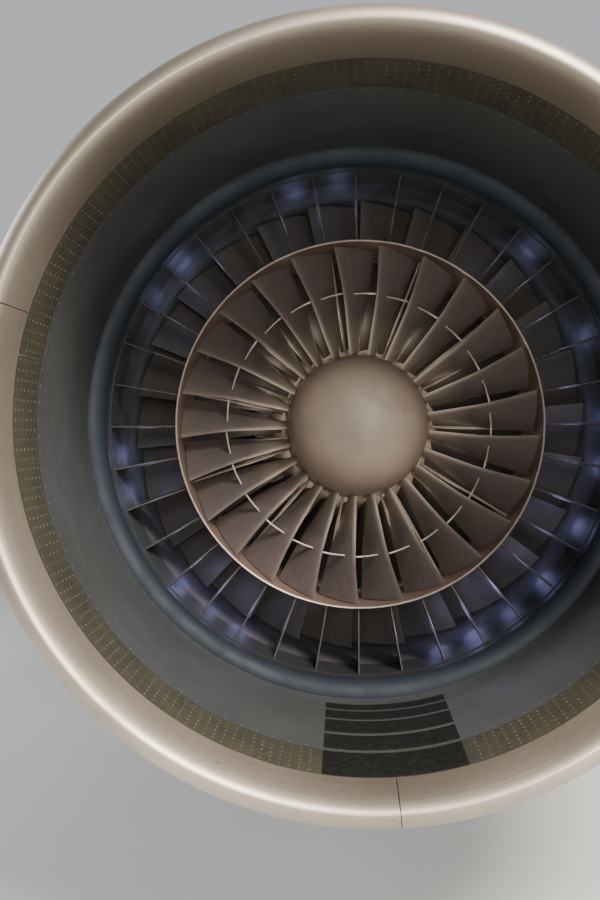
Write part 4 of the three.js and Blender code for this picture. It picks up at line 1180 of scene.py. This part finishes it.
class ENGINE_OT_cowls(bpy.types.Operator):
    """Build the moving cowls: fan cowl doors, reverser sleeves with their cascades, and core cowl doors"""

    bl_idname = "engine.cowls"
    bl_label = "Doors and Reverser"

    def execute(self, context):
        sizes = context.scene.engine_cowls
        for side, word in SIDES:
            self.fan_door(sizes, side, word)
            self.sleeve(sizes.rivet_spacing, side, word)
            self.cascade(side, word)
            self.core_door(side, word)
        return {"FINISHED"}

    def door(self, kind, depth, line, side, word, hinge):
        """A door's skin, and its half of each hinge: two knuckles with the pylon's lug between them."""
        stations, hinge_line = hinge
        notches = [(station - 0.062, station + 0.062, 0.206) for station in stations]
        body = kind + "_cowl_" + word
        skin = [plate(line, depth, side, PYLON_EDGE, DOOR_GAP, 110, notches)]
        node = kind + "_cowl_door_" + word
        how = {"mend": True, "bevel": 0.002}
        piece(body, "cowl_paint", "Cowl paint", kind + "_door_" + word, skin, node, **how)
        parts = []
        reach = Vector((side * 0.030, 0, -0.006))
        for middle, way in on_hinges(side, stations, hinge_line):
            for end in (-1, 1):
                pin, lug = (end * 0.020, end * 0.060), (end * 0.026, end * 0.054)
                parts += hinge_part(middle, way, pin, lug, reach, 0.010)
        piece(body, "cowl_paint", "Cast metal", kind + "_door_knuckles_" + word, parts)

    def fan_door(self, sizes, side, word):
        line = eased(DOOR_LINE, 8)
        body = "fan_cowl_" + word
        self.door("fan", sizes.door_wall, line, side, word, HINGES[0])
        start, end = half_turn(side, 9.0, 178.0)

        def inner(station):
            return radius_at(line, station) - sizes.door_wall

        frames = []
        for station in (1.200, 1.520, 1.900, 2.260, 2.500):
            high = inner(station) + 0.003
            rows = box(station, station + 0.030, high - 0.014, high, 0.003)
            frames.append(turned(rows, 90, start + 4, end - 2))
        for angle in np.arange(30, 176, 24):
            rows = [(s, inner(s) + 0.003) for s in np.linspace(1.21, 2.52, 9)]
            frames.append(turned(wall(rows, 0.011), 1, side * angle - 0.6, side * angle + 0.6))
        piece(body, "cowl_paint", "Door inside", "fan_door_frames_" + word, frames)
        places = places_round(line, (1.195, 2.530), sizes.rivet_spacing, start, end)
        for angle in (11, 178.2):
            places += line_places(line, side * angle, sizes.rivet_spacing, 1.22, 2.51)
        heads(body, "cowl_paint", "Flush head", "fan_door_rivets_" + word, places)
        if side < 0:
            stations = np.linspace(1.33, 2.39, sizes.latch_count)
            parts = [part for s in stations for part in self.latch(s, radius_at(line, s), 181.9)]
            piece(body, "cowl_paint", "Case grey", "fan_door_latches", parts)
        for kind, front, rear, angle, half in FAN_HATCHES:
            self.hatch("fan_door_" + kind + "hatch_" + word, body, line, front, rear, side * angle, half)

    def latch(self, station, radius, angle):
        """A flush latch: a thin plate with a handle in it."""
        base = box(station, station + 0.11, radius - 0.004, radius + 0.0012, 0.001)
        handle = [(0.012, 0.0), (0.088, 0.0), (0.088, 0.0042), (0.012, 0.0036)]
        handle = rounded([(station + s, radius + r) for s, r in handle], 0.0012, 2)
        return [turned(base, 6, angle - 1.3, angle + 1.3), turned(handle, 6, angle - 0.75, angle + 0.75)]

    def hatch(self, name, body, line, start, end, angle, half):
        """An access door in a skin: a plate a hair proud of it, a seal, and fasteners round its edge."""
        over = [(s, radius_at(line, s) + 0.0010) for s in np.linspace(start, end, 8)]
        first, last = angle - half, angle + half
        door = [turned(rounded(wall(over, 0.0030), 0.0006, 2), 24, first, last)]
        piece(body, "cowl_paint", "Cowl paint", name, door)
        around = math.degrees(HATCH_SEAL / over[0][1])
        ends = np.linspace(start - HATCH_SEAL, end + HATCH_SEAL, 8)
        rows = wall([(s, radius_at(line, s) + 0.0003) for s in ends], 0.0013)
        seal = [turned(rows, 24, first - around, last + around)]
        piece(body, "cowl_paint", "Dark seal", name + "_seal", seal)
        places = []
        for station in (start + 0.014, end - 0.014):
            places += ring_places(station, radius_at(line, station) + 0.0010, 9, first + 0.3, last - 0.3)
        for turn in (first + 0.5, last - 0.5):
            places += line_places(over, turn, 0.045, start + 0.02, end - 0.02)
        heads(body, "cowl_paint", "Fastener steel", name + "_screws", places, 0.0042, 0.0006, 8)

    def sleeve(self, spacing, side, word):
        outside, inside = eased(SLEEVE_LINE, 10), eased(SLEEVE_INSIDE, 8)
        skin = outside + [(4.300, 1.176)] + [(s, r - 0.016) for s, r in outside[-2::-1]]
        lining = inside + [(s, r + 0.012) for s, r in inside[-1:0:-1]] + [(4.296, 1.174)]
        filling = [
            (3.165, 1.246), (3.165, 1.420), (3.500, 1.405), (3.950, 1.306),
            (4.270, 1.184), (3.950, 1.230), (3.600, 1.250),
        ]
        edges = (side, PYLON_EDGE, BEAM_EDGE)
        parts = [turned(rounded(rows, 0.002, 2), 130, edges=edges) for rows in (skin, lining)]
        parts.append(turned(filling, 60, edges=(side, 0.210, 0.096)))
        body = "reverser_" + word
        piece(body, "cowl_paint", "Cowl paint", "sleeve_" + word, parts, "reverser_sleeve_" + word)
        places = places_round(outside, (2.595, 3.180, 4.262), spacing, *half_turn(side, 9.5, 175.5))
        heads(body, "cowl_paint", "Flush head", "sleeve_rivets_" + word, places)

    def cascade(self, side, word):
        front, rear = 2.5983, 3.150
        start, end = half_turn(side, 12.0, 174.0)
        section = [
            (0.000, 1.266), (0.012, 1.300), (0.030, 1.340), (0.040, 1.394),
            (0.036, 1.394), (0.026, 1.341), (0.008, 1.301), (-0.004, 1.266),
        ]
        vane = turned([(front + 0.035 + s, r) for s, r in section], 54, start, end)
        values = {"Count": 14, "Pitch": 0.0345, "Material": shared(finish, "Cascade metal")}
        vanes = grown(solid("cascade_vanes_" + word, [vane]), rows_tree, values)
        fit(vanes, "nacelle", "cascade_metal", "cascade_" + word)
        rails = [box(s, s + 0.026, 1.262, 1.398, 0.003) for s in (front, rear - 0.026)]
        frames = [turned(rail, 60, start, end) for rail in rails]
        spar = box(front, rear, 1.264, 1.396)
        frames += [turned(spar, 1, angle - 0.25, angle + 0.25) for angle in np.linspace(start, end, 10)]
        piece("nacelle", "cascade_metal", "Cascade metal", "cascade_frames_" + word, frames)

    def core_door(self, side, word):
        line = eased(CORE_DOOR_LINE, 8)
        body = "core_cowl_" + word
        self.door("core", 0.016, line, side, word, HINGES[1])
        turns = half_turn(side, 17.0, 178.0)
        places = places_round(line, (4.852, 5.618), CORE_RIVET_SPACING, *turns)
        heads(body, "cowl_paint", "Flush head", "core_door_rivets_" + word, places, 0.0035)
        self.hatch("core_door_hatch_" + word, body, line, 5.12, 5.30, side * 112, 6.0)
        if side < 0:
            parts = []
            for station in (4.93, 5.19, 5.45):
                parts += self.latch(station, radius_at(line, station + 0.05) + 0.002, 183.0)
            piece(body, "cowl_paint", "Case grey", "core_door_latches", parts)


# The pylon's side view is two quarter ellipses with a flat between them, and its plan is drawn in at
# both ends. Its cross-sections have upright sides, rounded top corners, and a floor that follows the
# engine.
PYLON_FLAT = (2.200, 4.900)
PYLON_NOSE = {"station": 1.190, "full": 1.800, "foot": 1.000, "along": 1.262}
PYLON_TAIL = {"station": 6.080, "full": 5.640, "foot": 0.900}
PYLON_HALF_WIDTH = 0.175
PYLON_TOP = 1.720
PYLON_FLOOR = [
    (1.190, 1.3004), (2.572, 1.3004), (2.5721, 1.4284), (2.600, 1.4284), (2.6001, 0.8304), (3.300, 0.8684),
    (4.300, 0.8154), (4.827, 0.7704), (4.8271, 0.700), (5.400, 0.650), (5.646, 0.650), (5.6461, 0.6424),
    (6.100, 0.6154),
]
CORNER_TURNS = np.radians(np.linspace(0, 90, 6))


def pylon_row(station):
    """The pylon's half width, the height of its top above the axis, and how far its tail closes."""
    front, rear = PYLON_FLAT
    if station < front:
        foot, share = PYLON_NOSE["foot"], (front - station) / PYLON_NOSE["along"]
    else:
        foot, share = PYLON_TAIL["foot"], max(0.0, station - rear) / (PYLON_TAIL["station"] - rear)
    narrowing = max(0.0, PYLON_NOSE["full"] - station) / (PYLON_NOSE["full"] - PYLON_NOSE["station"])
    closing = max(0.0, station - PYLON_TAIL["full"]) / (PYLON_TAIL["station"] - PYLON_TAIL["full"])
    width = PYLON_HALF_WIDTH * math.sqrt(1 - narrowing**2) * (1 - closing**1.8)
    return max(width, 0.005), foot + (PYLON_TOP - foot) * math.sqrt(1 - share**2), closing


def pylon_mesh():
    """The pylon as a loft of its cross-sections."""
    nose = [PYLON_NOSE["station"] + 0.61 * (1 - math.cos(turn)) for turn in np.linspace(0, math.pi / 2, 15)]
    rise = list(np.linspace(1.86, 2.200, 8))
    middle = [2.4, 2.572, 2.5721, 2.600, 2.6001, 2.8, 3.0, 3.3, 3.8, 4.3, 4.6, 4.827, 4.8271]
    fall = [PYLON_FLAT[1] + 1.18 * math.sin(turn) for turn in np.linspace(0, math.pi / 2, 22)]
    rings = []
    for station in sorted(set(nose + rise + middle + fall + [5.400, 5.6400, 5.646, 5.6461])):
        width, top, closing = pylon_row(station)
        corner = min(0.028, 0.8 * width)
        section = []
        for side, turns in ((1, CORNER_TURNS), (-1, CORNER_TURNS[::-1])):
            for turn in turns:
                out, up = corner * math.cos(turn), corner * math.sin(turn)
                section.append((side * (width - corner + out), top - corner + up))
        low = 1.290 if station < 2.320 else 0.560 + 0.140 * closing
        radius = radius_at(PYLON_FLOOR, station)
        for x in np.linspace(-width, width, 7):
            section.append((x, max(low, math.sqrt(radius**2 - x**2))))
        rings.append([(x, FRONT_Y + station, AXIS_Z + z) for x, z in section])
    return loft(rings)


# CAD nodes that stay as they are, and their finishes
NODE_COATS = {
    "front_mount_yoke": "Cast metal",
    "rear_mount_yoke": "Cast metal",
    "lower_beam": "Duct grey",
    "core_engine_block": "Cast metal",
    "low_pressure_shaft": "Cast metal",
}
# Accessories on the gearbox: angle, radius of the flange, and the station where it ends
ACCESSORIES = [
    (157.5, 0.036, 2.00), (164.5, 0.050, 2.07), (173.0, 0.040, 1.98),
    (181.5, 0.052, 2.06), (190.5, 0.038, 1.96), (199.5, 0.050, 2.04),
]
# Pipes round the fan case: station, radius of the pipe, and the angles where it starts and ends
HOOPS = [
    (1.225, 0.008, 12, 348), (1.262, 0.006, 20, 150), (1.480, 0.008, 14, 316), (1.535, 0.006, 30, 170),
    (1.680, 0.009, 212, 346), (1.750, 0.006, 96, 148), (1.925, 0.009, 214, 344), (1.990, 0.006, 216, 300),
    (2.150, 0.008, 14, 346), (2.195, 0.006, 60, 290),
]
# Pipes along the fan case: angle, radius of the pipe, and the stations where it starts and ends
RUNS = [
    (24, 0.010, 1.20, 2.25), (30, 0.007, 1.30, 2.25), (52, 0.012, 1.40, 2.25), (100, 0.010, 1.24, 2.20),
    (107, 0.007, 1.24, 2.05), (126, 0.012, 1.40, 2.25), (143, 0.008, 1.20, 2.25), (218, 0.010, 1.20, 2.25),
    (226, 0.007, 1.32, 2.25), (247, 0.014, 1.50, 2.25), (270, 0.008, 1.20, 2.25), (277, 0.008, 1.20, 2.10),
    (300, 0.012, 1.36, 2.25), (347, 0.008, 1.20, 2.05),
]
# Flanges of the core: station and height
CORE_FLANGES = [
    (4.360, 0.026), (4.620, 0.026), (4.880, 0.030),
    (5.070, 0.024), (5.260, 0.024), (5.410, 0.020),
]
# Pipes along the core: angle and radius of the pipe
CORE_PIPES = [
    (38, 0.014), (44, 0.009), (97, 0.020), (103, 0.009), (148, 0.012),
    (205, 0.016), (212, 0.009), (262, 0.020), (318, 0.012), (325, 0.008),
]


class ENGINE_OT_carriers(bpy.types.Operator):
    """Build what carries the engine, and finish the yokes, beam, accessories, core block and shaft"""

    bl_idname = "engine.carriers"
    bl_label = "Pylon and Accessories"

    def execute(self, context):
        for node, coat in NODE_COATS.items():
            coated(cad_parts[node], coat)
        self.pylon(context.scene.engine_cowls.rivet_spacing)
        self.gearbox()
        self.oil_tank()
        self.case_pipes()
        self.control_box()
        self.case_bolts()
        self.core_flanges()
        self.core_pipes()
        return {"FINISHED"}

    def pylon(self, spacing):
        skin = [pylon_mesh()]
        piece("nacelle", "pylon_paint", "Pylon paint", "pylon_skin", skin, "pylon_stub", mend=True)
        line = [row for row in eased(DOOR_LINE, 8) if row[0] < 1.86]
        turns = [math.degrees(math.asin(x / 1.44)) for x in (-PYLON_HALF_WIDTH, PYLON_HALF_WIDTH)]
        saddle = [turned(rounded(wall(line, 0.020), 0.0015, 2), 16, *turns)]
        piece("nacelle", "cowl_paint", "Cowl paint", "pylon_saddle", saddle)
        parts, places = [], []
        for side, _ in SIDES:
            # A lug between the two knuckles of each hinge, and a track for the sleeve
            for stations, line in HINGES:
                for middle, way in on_hinges(side, stations, line):
                    reach = Vector((side * (PYLON_HALF_WIDTH - 0.008) - middle.x, 0, 0))
                    parts += hinge_part(middle, way, (-0.0195, 0.0195), (-0.015, 0.015), reach, 0.012)
            near, far = side * (PYLON_HALF_WIDTH - 0.005), side * (PYLON_HALF_WIDTH + 0.025)
            corners = [(near, 1.265), (far, 1.265), (far, 1.285), (near, 1.285)]
            parts.append(slab([(x, FRONT_Y + 2.612, AXIS_Z + z) for x, z in corners], (0, 1.373, 0)))
            spots = [(2.25 + k * spacing, z) for z in (1.655, 1.560) for k in range(int(2.6 / spacing))]
            spots += [(s, 1.575 + 0.022 * k) for s in (2.24, 2.95, 3.60, 4.25, 4.87) for k in range(4)]
            for station, height in spots:
                place = Vector((side * PYLON_HALF_WIDTH, FRONT_Y + station, AXIS_Z + height))
                places.append((place, Vector((side, 0, 0))))
        piece("nacelle", "pylon_paint", "Cast metal", "pylon_lugs_and_tracks", parts)
        heads("nacelle", "pylon_paint", "Flush head", "pylon_rivets", places)

    def gearbox(self):
        """A curved casting under the fan case, with ribs, and accessories on its rear face."""
        block = partial(piece, "nacelle", "block_metal")
        middle = 1.322
        rib = box(1.650, 1.826, 1.264, 1.382, 0.004)
        parts = [turned(box(1.655, 1.820, 1.262, 1.372, 0.010, 3), 54, 153, 207)]
        parts += [turned(rib, 2, angle, angle + 0.9) for angle in np.arange(153.2, 207, 8.8)]
        block("Cast metal", "gearbox_casting", parts, "accessory_gearbox")
        parts, places = [], []
        for angle, size, rear in ACCESSORIES:
            steps = [(1.815, 1.832, 1.0), (1.830, 1.845, 0.78)]
            steps += [(1.840, rear - 0.03, 0.92), (rear - 0.032, rear, 0.6)]
            for start, end, share in steps:
                parts.append(rod(at(start, middle, angle), at(end, middle, angle), size * share, 28))
            port = rear - 0.06
            parts.append(rod(at(port, middle, angle), at(port, middle + size, angle), 0.012, 14))
            for k in range(10):
                turn = 2 * math.pi * k / 10
                radius = middle + (size - 0.006) * math.cos(turn)
                aside = math.degrees((size - 0.006) * math.sin(turn) / radius)
                places.append((at(1.832, radius, angle + aside), Vector((0, 1, 0))))
        block("Case grey", "gearbox_accessories", parts)
        places += ring_places(1.6545, 1.352, 26, 154, 206)
        heads("nacelle", "block_metal", "Fastener steel", "gearbox_bolts", places, 0.0042, 0.004)

    def oil_tank(self):
        """A curved tank with two straps, a filler and a sight glass on its front."""
        tank = [turned(box(1.650, 2.010, 1.264, 1.378, 0.035, 6), 30, 69, 91)]
        block = partial(piece, "nacelle", "block_metal")
        block("Duct grey", "oil_tank_body", tank, "oil_tank", mend=True, bevel=0.008)
        parts = [turned(box(s, s + 0.028, 1.262, 1.3805, 0.0015), 32, 68.4, 91.6) for s in (1.730, 1.920)]
        parts.append(rod(at(1.835, 1.370, 76), at(1.835, 1.392, 76), 0.030, 28))
        parts.append(rod(at(1.835, 1.390, 76), at(1.835, 1.398, 76), 0.020, 28))
        parts.append(rod(at(1.640, 1.318, 84), at(1.655, 1.318, 84), 0.022, 24))
        block("Cast metal", "oil_tank_fittings", parts)

    def case_pipes(self):
        """Pipes round and along the outside of the fan case, and their clamps on its ribs."""
        block = partial(piece, "nacelle", "block_metal")
        parts = []
        for station, size, start, end in HOOPS:
            parts.append(hoop(station, 1.2605 + size, size, max(6, int((end - start) / 2.5)), start, end))
        block("Pipe steel", "hoop_pipes", parts)
        pipes, clamps = [], []
        bend = 0.045
        for angle, size, start, end in RUNS:
            radius = 1.281 + size
            points = [(start, 1.262), (start + 0.4 * bend, radius), (start + 2 * bend, radius)]
            points += [(s, radius) for s in np.linspace(start + 4 * bend, end - 4 * bend, 4)]
            points += [(end - 2 * bend, radius), (end - 0.4 * bend, radius), (end, 1.262)]
            pipes.append(tube([at(*point, angle) for point in points], size))
            for station in np.array(RIBS) + RIB_WIDTH / 2:
                if start + 0.1 < station < end - 0.1:
                    rows = box(station - 0.010, station + 0.010, 1.259, radius + size + 0.002, 0.002)
                    clamps.append(turned(rows, 1, angle - 0.5, angle + 0.5))
        block("Pipe steel", "long_pipes", pipes)
        block("Case grey", "pipe_clamps", clamps)

    def control_box(self):
        """A finned box on the fan case, on feet and with plugs on its rear face."""
        parts = [turned(box(1.450, 1.600, 1.268, 1.345, 0.008, 3), 14, 322, 340)]
        for s in np.arange(1.462, 1.590, 0.016):
            parts.append(turned(box(s, s + 0.006, 1.340, 1.358, 0.001), 14, 322.6, 339.4))
        for s in (1.455, 1.575):
            parts += [turned(box(s, s + 0.02, 1.259, 1.270), 1, a, a + 1.2) for a in (322.3, 338.5)]
        parts += [rod(at(1.598, 1.305, a), at(1.628, 1.305, a), 0.014, 18) for a in (325, 329, 333, 337)]
        piece("nacelle", "block_metal", "Dark box", "control_box", parts)

    def case_bolts(self):
        places = ring_places(2.288, 1.3003, 108) + ring_places(1.151, 1.3003, 108)
        heads("nacelle", "case_grey", "Fastener steel", "fan_flange_bolts", places, 0.008, 0.006)

    def core_skin(self, station):
        """The radius of the core's block where the doors show it."""
        return 0.545 + max(0.0, station - 4.8) * 0.0859

    def core_flanges(self):
        parts, places = [], []
        aft = Vector((0, 1, 0))
        for station, high in CORE_FLANGES:
            low = self.core_skin(station)
            parts.append(turned(box(station, station + 0.022, low - 0.012, low + high, 0.003), 120))
            if 4.8 < station < 5.4:
                bolts = ring_places(station, low + 0.5 * high + 0.004, 72)
                places += [(point + aft * 0.022, aft) for point, _ in bolts]
        piece("nacelle", "block_metal", "Cast metal", "core_flanges", parts)
        heads("nacelle", "block_metal", "Fastener steel", "core_flange_bolts", places, 0.006, 0.006)

    def core_pipes(self):
        """A fuel manifold with its nozzles, and pipes along the core."""
        parts = [hoop(4.965, 0.597, 0.012, 120, 17, 343)]
        for angle in range(24, 337, 13):
            parts.append(rod(at(4.965, 0.550, angle), at(4.965, 0.600, angle), 0.007, 10))
        for angle, size in CORE_PIPES:
            points = [at(s, self.core_skin(s) + 0.040 + size, angle) for s in np.linspace(4.840, 5.200, 6)]
            for station, high, aside in ((5.260, 0.034, 3), (5.330, 0.0, 5)):
                points.append(at(station, self.core_skin(station) + high + size, angle + aside))
            parts.append(tube(points, size))
        piece("nacelle", "block_metal", "Pipe steel", "core_pipes", parts)


# Small cool lights among the vanes: the angle of each, and its share of the power
GLINTS = [
    (1.3, 0.7), (-9.7, 0.7), (-41.7, 1.3), (-52.0, 0.6), (-91.7, 1.2), (-101.0, 1.0),
    (-126.7, 2.2), (-136.0, 1.6), (-145.0, 1.8), (165.3, 1.6), (156.0, 3.0), (146.0, 1.6),
    (135.0, 1.8), (120.0, 1.6), (105.0, 1.2), (94.0, 0.8), (74.0, 1.0), (50.0, 0.8),
]
GLINT_COLOUR = (0.45, 0.48, 1.0)
WARM_COLOUR = (1.0, 0.86, 0.70)
# Large soft lights: name, place about the front of the fan, size, share of the key power, colour, and the
# distance aft of the point that it is aimed at
SOFT_LIGHTS = [
    ("key", (3.2, -4.2, 4.75), 2.6, 2.6, (1.0, 0.95, 0.88), 0.0),
    ("front", (0.3, -6.6, 0.7), 2.4, 0.52, (1.0, 0.95, 0.89), 0.0),
    ("side", (-6.5, 3.0, 3.5), 4.0, 0.8, (0.93, 0.96, 1.0), 3.0),
    ("rear", (5.5, 8.5, 3.0), 4.0, 0.8, (1.0, 0.98, 0.95), 3.0),
]
# Narrow lights on the hub and on the lower left of the duct: place about the front of the fan, aim as
# station, radius and angle, spread in degrees, share of the fan power, and colour
NARROW_LIGHTS = [
    ((0.75, -1.5, -0.30), (1.400, 0.0, 0), 46, 1.3, (1.0, 0.94, 0.86)),
    ((0.7, -0.6, 0.5), (1.800, 1.120, -143), 19, 3.6, (1.0, 0.84, 0.80)),
]
# What the camera sees behind the floor, which fades into it far away
BACKDROP = (0.86, 0.88, 0.92)
BACKDROP_STRENGTH = 0.62
# The viewpoint: millimetres, metres and degrees
FOCAL_LENGTH = 29.82
CAMERA_PLACE = (-0.0657, FRONT_Y - 2.3564, AXIS_Z - 0.0294)
CAMERA_TURNS = (88.980, 5.362, 3.453)


class ENGINE_OT_stage(bpy.types.Operator):
    """Set the floor, the lights and the camera"""

    bl_idname = "engine.stage"
    bl_label = "Stage"

    def execute(self, context):
        looks = context.scene.engine_stage
        self.floor(looks)
        self.world(context.scene)
        self.lights(looks)
        self.camera(context.scene)
        return {"FINISHED"}

    def floor(self, looks):
        reach, low = 60.0, FRAME_BOX[0][2] - looks.floor_drop
        mesh = bpy.data.meshes.new("floor")
        corners = [(-reach, -reach, low), (reach, -reach, low), (reach, reach, low), (-reach, reach, low)]
        mesh.from_pydata(corners, [], [(0, 1, 2, 3)])
        floor = placed("floor", mesh)
        made = Finish("Studio floor", 0.0)
        away = add(made.tree, "ShaderNodeVectorMath", {0: made.place}, "Value", operation="LENGTH")
        fade = {"Value": away, "From Min": 3.5, "From Max": 17.0}
        far = add(made.tree, "ShaderNodeMapRange", fade, interpolation_type="SMOOTHSTEP")
        colour = tuple(looks.floor_colour)
        tone = made.mix(made.mask("mottle", 0.4, 0.38, 0.68), colour, tuple(c * 0.96 for c in colour))
        seen = add(made.tree, "ShaderNodeLightPath", out="Is Camera Ray")
        glow = made.maths("MULTIPLY", made.maths("MULTIPLY", far, seen), BACKDROP_STRENGTH)
        made.shader["Emission Color"].default_value = (*BACKDROP, 1.0)
        made.tree.links.new(glow, made.shader["Emission Strength"])
        floor.data.materials.append(made.finished(made.mix(far, tone, (0.0, 0.0, 0.0)), far, 0.6, 1.0))

    def world(self, scene):
        world = bpy.data.worlds.new("Studio")
        world.use_nodes = True
        shade = world.node_tree.nodes["Background"].inputs
        shade[0].default_value = (*BACKDROP, 1.0)
        seen = add(world.node_tree, "ShaderNodeLightPath", out="Is Camera Ray")
        levels = {"Value": seen, "To Min": 0.27, "To Max": BACKDROP_STRENGTH}
        world.node_tree.links.new(add(world.node_tree, "ShaderNodeMapRange", levels), shade[1])
        scene.world = world

    def lights(self, looks):
        middle = Vector((0.0, FRONT_Y + 0.4, AXIS_Z))
        for name, offset, size, share, colour, aft in SOFT_LIGHTS:
            thing = self.lamp(name, "AREA", middle + Vector(offset), looks.key_power * share, colour)
            thing.data.shape = "DISK"
            thing.data.size = size
            self.aim(thing, middle + Vector((0, aft, 0)))
        for offset, target, spread, share, colour in NARROW_LIGHTS:
            place = middle + Vector(offset)
            thing = self.lamp("small_light", "SPOT", place, looks.fan_power * share, colour, 0.3)
            thing.data.spot_size = math.radians(spread)
            thing.data.spot_blend = 0.7
            self.aim(thing, at(*target))
        for angle, share in GLINTS:
            power = looks.glint_power * share
            self.lamp("small_light", "POINT", at(1.625, 1.150, angle), power, GLINT_COLOUR, 0.05)
        for angle in range(15, 360, 30):
            place = at(1.665, 0.560, angle)
            self.lamp("small_light", "POINT", place, looks.warm_power, WARM_COLOUR, 0.12)

    def lamp(self, name, kind, place, power, colour, size=0.0):
        """A light that the camera doesn't see."""
        data = bpy.data.lights.new(name, kind)
        data.energy = power
        data.color = colour
        if kind != "AREA":
            data.shadow_soft_size = size
        thing = placed(name, data)
        thing.location = place
        thing.visible_camera = False
        return thing

    def aim(self, thing, target):
        thing.rotation_euler = (target - thing.location).to_track_quat("-Z", "Y").to_euler()

    def camera(self, scene):
        lens = bpy.data.cameras.new("camera")
        lens.lens = FOCAL_LENGTH
        lens.clip_end = 200.0
        camera = placed("camera", lens)
        camera.location = CAMERA_PLACE
        camera.rotation_euler = Euler([math.radians(angle) for angle in CAMERA_TURNS])
        scene.camera = camera


class ENGINE_PT_panel(bpy.types.Panel):
    """The pod's sizes, and a button for each group of its pieces"""

    bl_idname = "ENGINE_PT_panel"
    bl_label = "Engine Pod"
    bl_space_type = "VIEW_3D"
    bl_region_type = "UI"
    bl_category = "Engine Pod"

    def draw(self, context):
        for name in SETTINGS:
            box = self.layout.box()
            group = getattr(context.scene, name)
            for label in group.__annotations__:
                box.prop(group, label)
        for operator in OPERATORS:
            self.layout.operator(operator.bl_idname)


SETTINGS = {
    "engine_intake": IntakeSizes,
    "engine_fan": FanSizes,
    "engine_cowls": CowlSizes,
    "engine_stage": StageLooks,
}
OPERATORS = [
    ENGINE_OT_stage, ENGINE_OT_intake, ENGINE_OT_fan, ENGINE_OT_core, ENGINE_OT_cowls,
    ENGINE_OT_carriers,
]


def register():
    for group in SETTINGS.values():
        bpy.utils.register_class(group)
    for name, group in SETTINGS.items():
        setattr(bpy.types.Scene, name, bpy.props.PointerProperty(type=group))
    for operator in OPERATORS:
        bpy.utils.register_class(operator)
    bpy.utils.register_class(ENGINE_PT_panel)


def unregister():
    bpy.utils.unregister_class(ENGINE_PT_panel)
    for operator in reversed(OPERATORS):
        bpy.utils.unregister_class(operator)
    for name in SETTINGS:
        delattr(bpy.types.Scene, name)
    for group in SETTINGS.values():
        bpy.utils.unregister_class(group)


def main():
    register()
    bpy.ops.engine.stage()
    bpy.ops.engine.intake()
    bpy.ops.engine.fan()
    bpy.ops.engine.core()
    bpy.ops.engine.cowls()
    bpy.ops.engine.carriers()
    bpy.context.view_layer.update()


if __name__ == "__main__":
    main()
